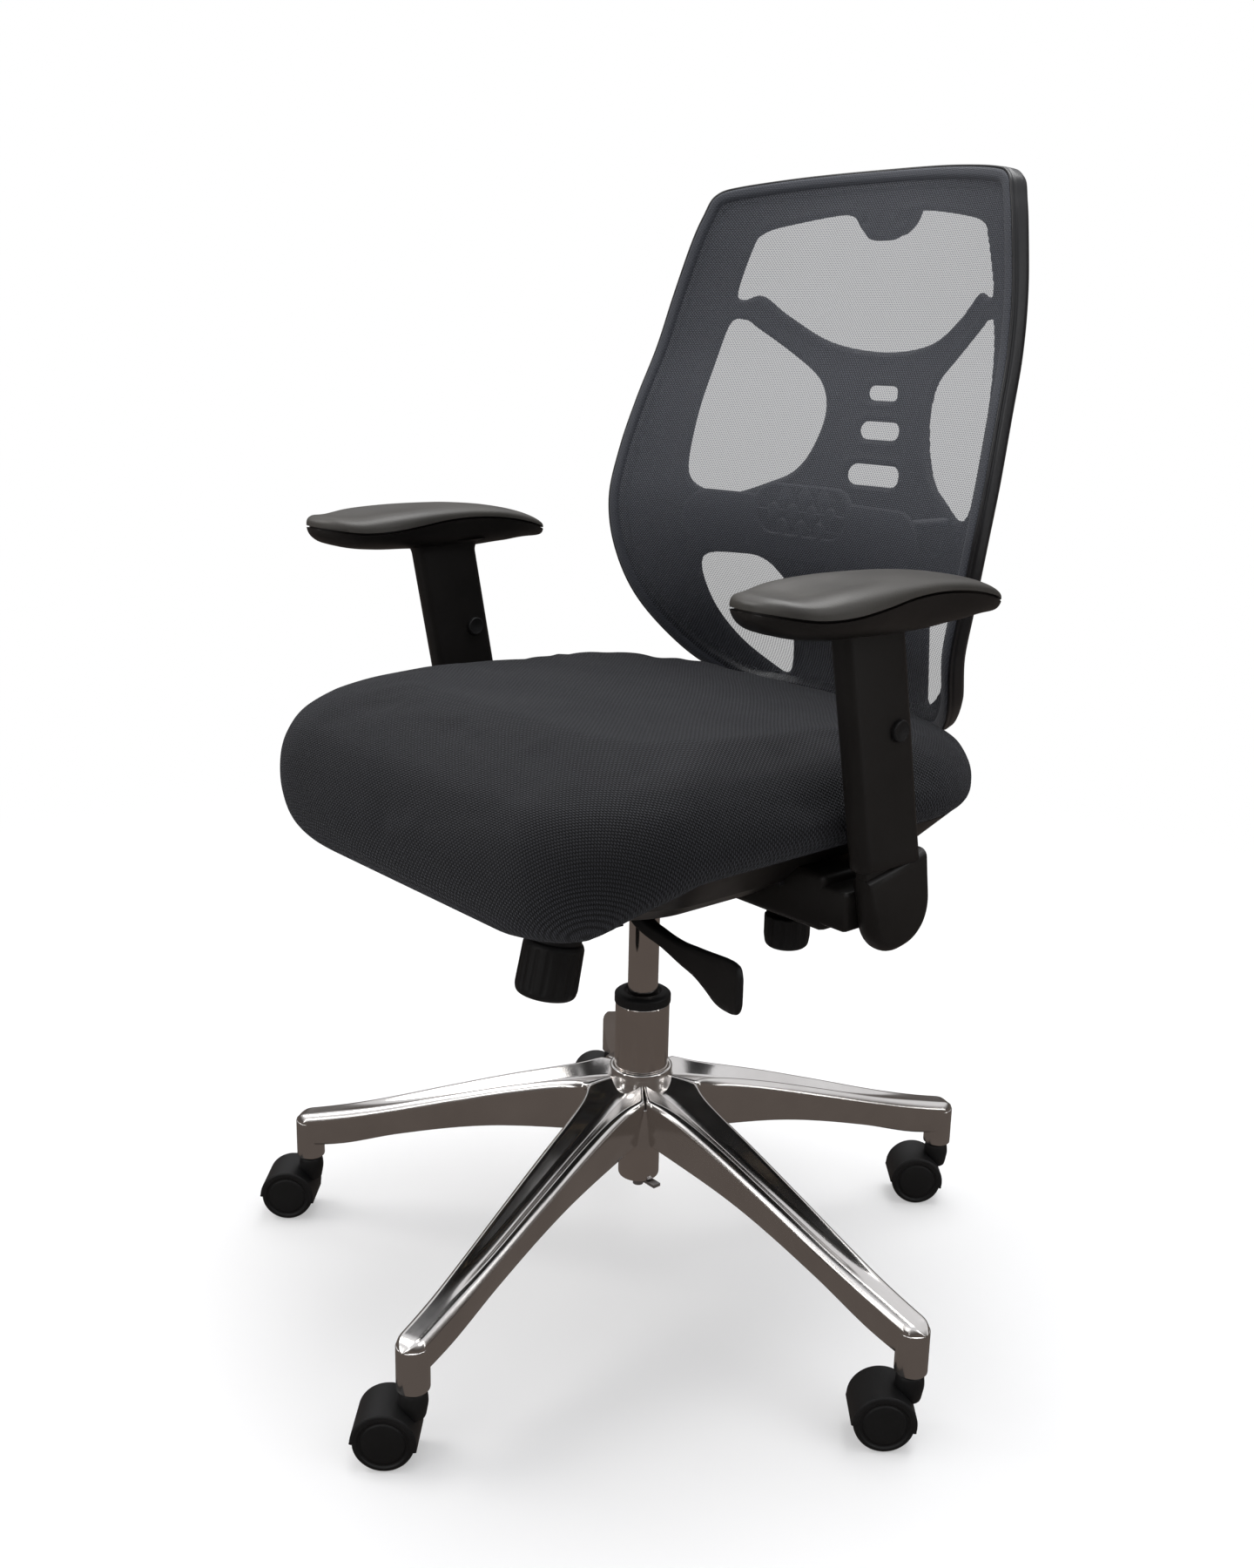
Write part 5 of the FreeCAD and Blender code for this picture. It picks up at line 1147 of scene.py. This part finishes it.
def pad_top(half, seam, rise, depth):
    """Upper cushion of the pad: a superellipse over the seam, dished along the middle, closed flat below."""
    angle = np.linspace(0, np.pi, 40)
    c, s = np.cos(angle), np.sin(angle)
    u = np.sign(c) * np.abs(c) ** 0.72
    v = s ** 0.62
    over_u = np.outer(half, u)
    dish = np.clip((rise - 0.0105) / 0.006, 0, 1)[:, None] * 0.34 * np.exp(-((u / 0.60) ** 2) ** 1.5)
    over_v = seam[:, None] + 0.0010 + rise[:, None] * v * (1 - dish)
    under_u = np.outer(half, np.linspace(-0.985, 0.985, 14))
    under_v = np.broadcast_to(seam[:, None] + 0.0008, under_u.shape)
    return np.concatenate([over_u, under_u], 1), np.concatenate([over_v, under_v], 1)


def pad_under(half, seam, rise, depth):
    """Hard tray of the pad: a bead at the seam that curves down and in to a flat underside."""
    angle = np.linspace(0, np.pi, 40)
    c, s = np.cos(angle), np.sin(angle)
    u = np.sign(c) * np.abs(c) ** 0.62
    v = s ** 0.85
    tuck = 1 - 0.16 * v
    below_u = np.outer(half * 0.995, u * tuck)
    below_v = seam[:, None] - 0.0011 - np.outer(depth * 0.86, v)
    above_u = np.outer(half, np.linspace(-0.95, 0.95, 14))
    above_v = np.broadcast_to(seam[:, None] - 0.0010, above_u.shape)
    return np.concatenate([below_u, above_u], 1), np.concatenate([below_v, above_v], 1)


def pad_seam(half, seam, rise, depth):
    """Dark filler of the seam, set in from both beads."""
    outline = np.array([(1, 1), (-1, 1), (-1, -1), (1, -1)], float)
    u = np.outer(np.maximum(half - 0.0042, 0.0003), outline[:, 0])
    v = seam[:, None] + 0.0004 + 0.0030 * outline[:, 1]
    return u, v


def arm_pad(name, side):
    """Soft pad on its hard tray, with a seam between them."""
    body = "arm_top_" + name
    top = piece("arm_pad_top_" + name, [loft(pad_rings(side, pad_top))], MATERIALS["pad_skin"], body,
                ["arm_pad_" + name], sharp=60)
    piece("arm_pad_tray_" + name, [loft(pad_rings(side, pad_under)), loft(pad_rings(side, pad_seam, 0.0012))],
          MATERIALS["black_shell"], body, (), sharp=60)


# ------------------------------------------------------------------ back
def back_surface(x, z, bow_column, shift=0.0):
    """Point of the back over a flat place: y is the side edge plus a parabola's bow across the width."""
    half, edge, mesh_bow, lattice_bow = through(BACK_TABLE, z)
    bow = (mesh_bow, lattice_bow)[bow_column]
    y = edge + bow * (1 - (x / half)**2) + shift
    return np.stack([x, y, z], -1)


def mesh_place(shift=0.0):
    """Placing function of a plate that follows the mesh, moved rearward by a shift."""
    return lambda x, z: back_surface(x, z, 0, shift)


def lattice_place(shift=0.0):
    """Placing function of a plate that follows the lattice, moved rearward by a shift."""
    return lambda x, z: back_surface(x, z, 1, shift + LATTICE_SETBACK)


OUTLINE = closed_curve(mirrored(BACK_OUTLINE), 8)


def edge_band(section, inset, shift, name, material, stands_for):
    """Section carried round the outline of the back, set in by a distance and moved along Y."""
    flat = OUTLINE
    along = np.roll(flat, -1, 0) - np.roll(flat, 1, 0)
    along /= np.linalg.norm(along, axis=1)[:, None]
    flat = flat + np.column_stack([-along[:, 1], along[:, 0]]) * inset
    path = back_surface(flat[:, 0], flat[:, 1], 0, shift)
    run = np.roll(path, -1, 0) - np.roll(path, 1, 0)
    run /= np.linalg.norm(run, axis=1)[:, None]
    step = 1e-3
    dx = back_surface(flat[:, 0] + step, flat[:, 1], 0) - back_surface(flat[:, 0] - step, flat[:, 1], 0)
    dz = back_surface(flat[:, 0], flat[:, 1] + step, 0) - back_surface(flat[:, 0], flat[:, 1] - step, 0)
    rearward = np.cross(dz, dx)
    rearward /= np.linalg.norm(rearward, axis=1)[:, None]
    inward = np.cross(run, rearward)
    section = np.asarray(section, float)
    rings = (path[:, None] + section[None, :, :1] * inward[:, None] + section[None, :, 1:] * rearward[:, None])
    piece(name, [loft(rings, closed=True)], material, "back", stands_for, sharp=50)


def back_rim():
    """Moulded rim round the back, with a groove in its outer side, and the padded hem of the mesh over its front."""
    rim = softened([(0.0015, -0.0012), (0.0030, 0.0008), (0.016, 0.0012), (0.016, 0.0130), (0.009, 0.0170),
                    (0.002, 0.0165), (-0.0014, 0.0120), (-0.0016, 0.0040), (-0.0004, 0.0022), (-0.0014, 0.0006),
                    (-0.0010, -0.0012)], 0.0016, 4)
    edge_band(rim, 0.0016, 0.0, "back_rim", MATERIALS["black_frame"], [])
    welt = softened([(-0.0008, -0.0004), (0.0012, -0.0026), (0.0070, -0.0030), (0.0098, -0.0012), (0.0104, 0.0002),
                     (0.0, 0.0008)], 0.0016, 4)
    edge_band(welt, 0.0026, 0.0, "mesh_welt", MATERIALS["hem_knit"], ["mesh_ring"])


def lattice_field(x, z):
    """Distance into the lattice: inside the outline and outside every window and slot."""
    inside = distance_inside(OUTLINE, x, z) - 0.006
    for window, across in ((mirrored(UPPER_WINDOW), x), (MIDDLE_WINDOW, np.abs(x)), (LOWER_WINDOW, np.abs(x))):
        inside = np.minimum(inside, -distance_inside(closed_curve(window, 5), across, z))
    for slot_z, half_wide, half_high in SPINE_SLOTS:
        inside = np.minimum(inside, -distance_inside(slot_outline(slot_z, half_wide, half_high), x, z))
    for side in (-1, 1):
        inside = np.minimum(inside, np.hypot(x - side * HEADREST_X, z - HEADREST_Z) - HEADREST_HOLE_R)
    return inside


def back_lattice():
    """Bowed lattice with beaded windows, its headrest boss and the boss that the spine bolts to."""
    shell, _ = plate(lattice_field, lattice_place(0.0065), (-0.2325, 0.2325), (0.500, 1.020), 0.0026, 0.0052, 0.003,
                     0.0012)
    shells = [shell]
    boss = softened(rectangle(0.050, 0.042), 0.010, 6) + (0, 0.616)
    shells.append(placed(slab(boss, 0.0125, 0.0025), [(1, 0, 0), (0, 0, 1), (0, -1, 0)], (0, 0.2835, 0)))
    shells.append(headrest_boss())
    piece("back_lattice", shells, MATERIALS["lattice"], "back", ["back_shell"], sharp=50)


def headrest_boss():
    """Raised solid pad behind the two screw holes of the lattice; it closes them at the rear."""
    face = 0.2868
    outline = softened([(0.040, 0.986), (-0.040, 0.986), (-0.031, 0.965), (-0.018, 0.9545), (0.018, 0.9545),
                        (0.031, 0.965)], 0.006, 5)
    return placed(slab(outline, 0.0065, 0.002), [(1, 0, 0), (0, 0, 1), (0, -1, 0)], (0, face - 0.0065, 0))


def back_mesh():
    """Stretched mesh sheet: a single skin on the mesh surface, its weave counted across and up the sheet."""
    shell, flat = plate(lambda x, z: distance_inside(OUTLINE, x, z) - 0.0110, mesh_place(-0.0006), (-0.231, 0.231),
                        (0.500, 1.020), 0.0052)
    obj = piece("back_mesh_sheet", [shell], MATERIALS["mesh_fabric"], "back", ["back_mesh"],
                closed=False)
    set_uv(obj, flat)


def lumbar_field(x, z):
    """Distance into the lumbar plate: a wide slot and a taller one on it, with a window of discs on thin ribs."""
    outer = distance_inside(slot_outline(LUMBAR_Z - 0.016, 0.150, 0.029, 16), x, z)
    outer = np.maximum(outer, distance_inside(slot_outline(LUMBAR_Z - 0.002, 0.066, 0.027, 16), x, z))
    hole = distance_inside(slot_outline(LUMBAR_Z, 0.056, 0.021, 12), x, z)
    solid = np.full(x.shape, -1.0)
    for row in (-1, 0, 1):
        count = 3 if row else 4
        height = LUMBAR_Z + row * LUMBAR_DISC_PITCH * 0.6
        for number in range(count):
            centre = (number - (count - 1) / 2) * LUMBAR_DISC_PITCH
            solid = np.maximum(solid, 0.0075 - np.hypot(x - centre, z - height))
        solid = np.maximum(solid, 0.0009 - np.abs(z - height))
    for number in range(-2, 3):
        solid = np.maximum(solid, 0.0009 - np.abs(x - number * LUMBAR_DISC_PITCH / 2))
    return np.minimum(outer, np.maximum(-hole, solid))


def lumbar_pad():
    """Lumbar plate behind the mesh, on two posts that reach back to the lattice."""
    shell, _ = plate(lumbar_field, mesh_place(0.0105), (-0.152, 0.152), (0.665, 0.743), 0.0013, 0.0030, 0.0016)
    shells = [shell]
    for side in (-1, 1):
        x = side * 0.128
        front = float(back_surface(np.array(x), np.array(LUMBAR_Z), 0, 0.0110)[1])
        rear = float(back_surface(np.array(x), np.array(LUMBAR_Z), 1, 0.0040)[1])
        shells.append(turned([(0, 0), (0.0065, 0), (0.0050, 0.006), (0.0050, rear - front), (0, rear - front)],
                             0.0008, (x, front, LUMBAR_Z), (0, 1, 0), cols=32))
    piece("lumbar_plate", shells, MATERIALS["lumbar_plastic"], "back", ["lumbar_pad"], sharp=50)


def back_bracket():
    """Bent bar from the rear pivot, under the seat and up behind it, with cheeks at the pivot and ribs behind."""
    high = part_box("back_bracket")[1]
    bend = softened_path([(0.100, 0.399), (0.300, 0.399), (0.300, high.z)], [0.0, 0.052, 0.0], 22)
    count = 12
    start = np.column_stack([np.linspace(0.100, bend[1, 0], count), np.full(count, 0.399)])
    rise = np.column_stack([np.full(count, 0.300), np.linspace(bend[-2, 1], high.z, count)])
    route = np.concatenate([start[:-1], bend[1:-1], rise[1:]])
    path = np.column_stack([np.zeros(len(route)), route])
    half, = through([(0.0, 0.0760), (0.12, 0.0700), (0.30, 0.0450), (1.0, 0.0450)], np.linspace(0, 1, len(route)))
    corners = np.stack([np.stack([u * half, np.full(len(half), v * 0.004)], -1) for u, v in
                        ((1, 1), (-1, 1), (-1, -1), (1, -1))], 1)
    shells = [loft(swept(path, (1, 0, 0), softened(corners, 0.0025, 4)))]
    for side in (-1, 1):
        outline = softened([(0.045, 0.389), (0.066, 0.3905), (0.128, 0.3935), (0.128, 0.4065), (0.066, 0.4105),
                            (0.045, 0.411)], 0.006, 6)
        shells.append(placed(slab(outline, 0.0039, 0.0015), [(0, 1, 0), (0, 0, 1), (1, 0, 0)],
                             (side * 0.0724, 0, 0)))
        rib = softened([(0.235, 0.402), (0.270, 0.404), (0.296, 0.432), (0.303, 0.480), (0.3035, 0.566),
                        (0.3115, 0.560), (0.312, 0.450), (0.296, 0.408), (0.262, 0.388), (0.235, 0.395)], 0.004, 4)
        shells.append(placed(slab(rib, 0.0030, 0.001), [(0, 1, 0), (0, 0, 1), (1, 0, 0)], (side * 0.0418, 0, 0)))
    piece("back_bar", shells, MATERIALS["painted_steel"], "back", ["back_bracket"], sharp=50)


# ------------------------------------------------------------------ carried-over nodes
def finish_cad_nodes():
    """Every CAD node that still shows takes the material of its slot."""
    slots = {row["node"]: row["material_slot"] for row in frame["record"]["subparts"]}
    for name, node in NODES.items():
        if not node.hide_render:
            node.data.materials.clear()
            node.data.materials.append(MATERIALS[slots[name]])


# ------------------------------------------------------------------ studio
def floor():
    """Pale floor that fades to white away from the chair; in reflections it glows a dim warm brown, a painted
    reflection.
    """
    mesh = bpy.data.meshes.new("floor")
    reach = 14.0
    corners = [(-reach, -reach, 0), (reach, -reach, 0), (reach, reach, 0), (-reach, reach, 0)]
    mesh.from_pydata(corners, [], [(0, 1, 2, 3)])
    ground = bpy.data.objects.new("floor", mesh)
    bpy.context.scene.collection.objects.link(ground)
    material, tree, shader, place = new_material("pale_floor", (0.83, 0.83, 0.83), 0.9, Specular_IOR_Level=0.1)
    ray = tree.nodes.new("ShaderNodeLightPath")
    # painted reflection: glossy rays see the floor glow a dim warm brown, which stands in for a room reflected in the
    # metal
    warm = add(tree, "ShaderNodeEmission", {"Color": (0.34, 0.285, 0.255, 1), "Strength": 0.34})
    lit_floor_and_painted_reflection = add(tree, "ShaderNodeMixShader", None, {0: ray.outputs["Is Glossy Ray"], 1: shader.outputs[0],
                                                  2: warm.outputs[0]})
    far = add(tree, "ShaderNodeVectorMath", None, {0: place}, operation="LENGTH")
    fade = add(tree, "ShaderNodeMapRange", {"From Min": 0.2, "From Max": 1.9, "To Min": 0.35},
               {"Value": far.outputs["Value"]}, interpolation_type="SMOOTHSTEP")
    seen = add(tree, "ShaderNodeMath", None, {0: fade.outputs["Result"], 1: ray.outputs["Is Camera Ray"]},
               operation="MULTIPLY")
    white = add(tree, "ShaderNodeEmission", {"Color": (1, 1, 1, 1), "Strength": 1.0})
    mix = add(tree, "ShaderNodeMixShader", None, {0: seen.outputs[0], 1: lit_floor_and_painted_reflection.outputs[0], 2: white.outputs[0]})
    tree.links.new(mix.outputs[0], tree.nodes["Material Output"].inputs[0])
    mesh.materials.append(material)


def sky():
    """Even white sky to the camera; to everything else it is dim and warm near the horizon and white overhead."""
    world = bpy.data.worlds.new("studio")
    bpy.context.scene.world = world
    world.use_nodes = True
    tree = world.node_tree
    place = tree.nodes.new("ShaderNodeTexCoord").outputs["Generated"]
    height = add(tree, "ShaderNodeSeparateXYZ", None, {0: place}).outputs["Z"]
    ramp = add(tree, "ShaderNodeValToRGB", None, {0: height})
    stops = ramp.color_ramp.elements
    stops[0].position, stops[0].color = 0.0, (0.11, 0.095, 0.088, 1)
    stops[1].position, stops[1].color = 1.0, (0.95, 0.96, 1.0, 1)
    for position, color in ((0.12, (0.09, 0.078, 0.072, 1)), (0.30, (0.22, 0.21, 0.205, 1)),
                            (0.52, (0.95, 0.95, 0.97, 1))):
        stops.new(position).color = color
    ray = tree.nodes.new("ShaderNodeLightPath")
    room = add(tree, "ShaderNodeBackground", {"Strength": 0.85}, {"Color": ramp.outputs["Color"]})
    white = add(tree, "ShaderNodeBackground", {"Color": (1, 1, 1, 1), "Strength": 1.0})
    mix = add(tree, "ShaderNodeMixShader", None, {0: ray.outputs["Is Camera Ray"], 1: room.outputs[0],
                                                  2: white.outputs[0]})
    tree.links.new(mix.outputs[0], tree.nodes["World Output"].inputs[0])
    tree.nodes.remove(tree.nodes["Background"])


def add_lamp(name, power):
    """Area light with its power, not yet placed."""
    light = bpy.data.lights.new(name, "AREA")
    light.energy = power
    lamp = bpy.data.objects.new(name, light)
    bpy.context.scene.collection.objects.link(lamp)
    return lamp, light


def lamps():
    """Four square soft lights aimed at the chair, and three upright strips round it that streak the metal."""
    for name, place, size, power, color in (
            ("key", (-1.7, -1.5, 2.6), 1.4, 34, (1.0, 0.98, 0.96)),
            ("front", (0.6, -2.6, 1.5), 1.0, 5, (1.0, 0.97, 0.95)),
            ("side", (2.4, 0.4, 1.7), 1.0, 6, (0.97, 0.98, 1.0)),
            ("top", (-0.1, 0.5, 2.8), 1.8, 62, (1.0, 1.0, 1.0))):
        lamp, light = add_lamp(name, power)
        light.size = size
        light.color = color
        lamp.location = place
        aim = CAMERA_TARGET - lamp.location
        lamp.rotation_euler = aim.to_track_quat("-Z", "Y").to_euler()
    strip_distance = 2.2
    for name, azimuth, wide, power in (("left_strip", -11.0, 0.16, 4.0), ("mid_strip", 30.0, 0.05, 0.8),
                                       ("right_strip", 118.0, 0.12, 3.0)):
        lamp, light = add_lamp(name, power)
        light.shape = "RECTANGLE"
        light.size, light.size_y = wide, 1.9
        turn = math.radians(azimuth)
        lamp.location = (strip_distance * math.sin(turn), -strip_distance * math.cos(turn), 1.0)
        lamp.rotation_euler = (math.pi / 2, 0, turn)
        lamp.visible_camera = False


def studio():
    """Floor, sky and lamps, shown without a film curve."""
    floor()
    sky()
    lamps()
    bpy.context.scene.view_settings.view_transform = "Standard"


def camera():
    """Camera round the chair at a height, rolled slightly about its own axis."""
    back = Vector((math.sin(CAMERA_AZIMUTH) * math.cos(CAMERA_ELEVATION),
                   -math.cos(CAMERA_AZIMUTH) * math.cos(CAMERA_ELEVATION), math.sin(CAMERA_ELEVATION)))
    data = bpy.data.cameras.new("camera")
    data.lens = LENS
    data.sensor_width = 36.0
    data.shift_x, data.shift_y = LENS_SHIFT
    obj = bpy.data.objects.new("camera", data)
    bpy.context.scene.collection.objects.link(obj)
    aim = (-back).to_track_quat("-Z", "Y").to_matrix() @ Matrix.Rotation(CAMERA_ROLL, 3, "Z")
    obj.matrix_world = Matrix.Translation(CAMERA_TARGET + back * CAMERA_DISTANCE) @ aim.to_4x4()
    bpy.context.scene.camera = obj


camera()
studio()
base_star()
column()
casters()
tension_knob()
height_lever()
tilt_lock()
seat_cushion()
for arm_name, arm_side in (("l", 1), ("r", -1)):
    arm_sleeve(arm_name, arm_side)
    arm_bracket(arm_name, arm_side)
    arm_button(arm_name, arm_side)
    arm_knob(arm_name, arm_side)
    arm_pad(arm_name, arm_side)
back_rim()
back_lattice()
back_mesh()
lumbar_pad()
back_bracket()
finish_cad_nodes()
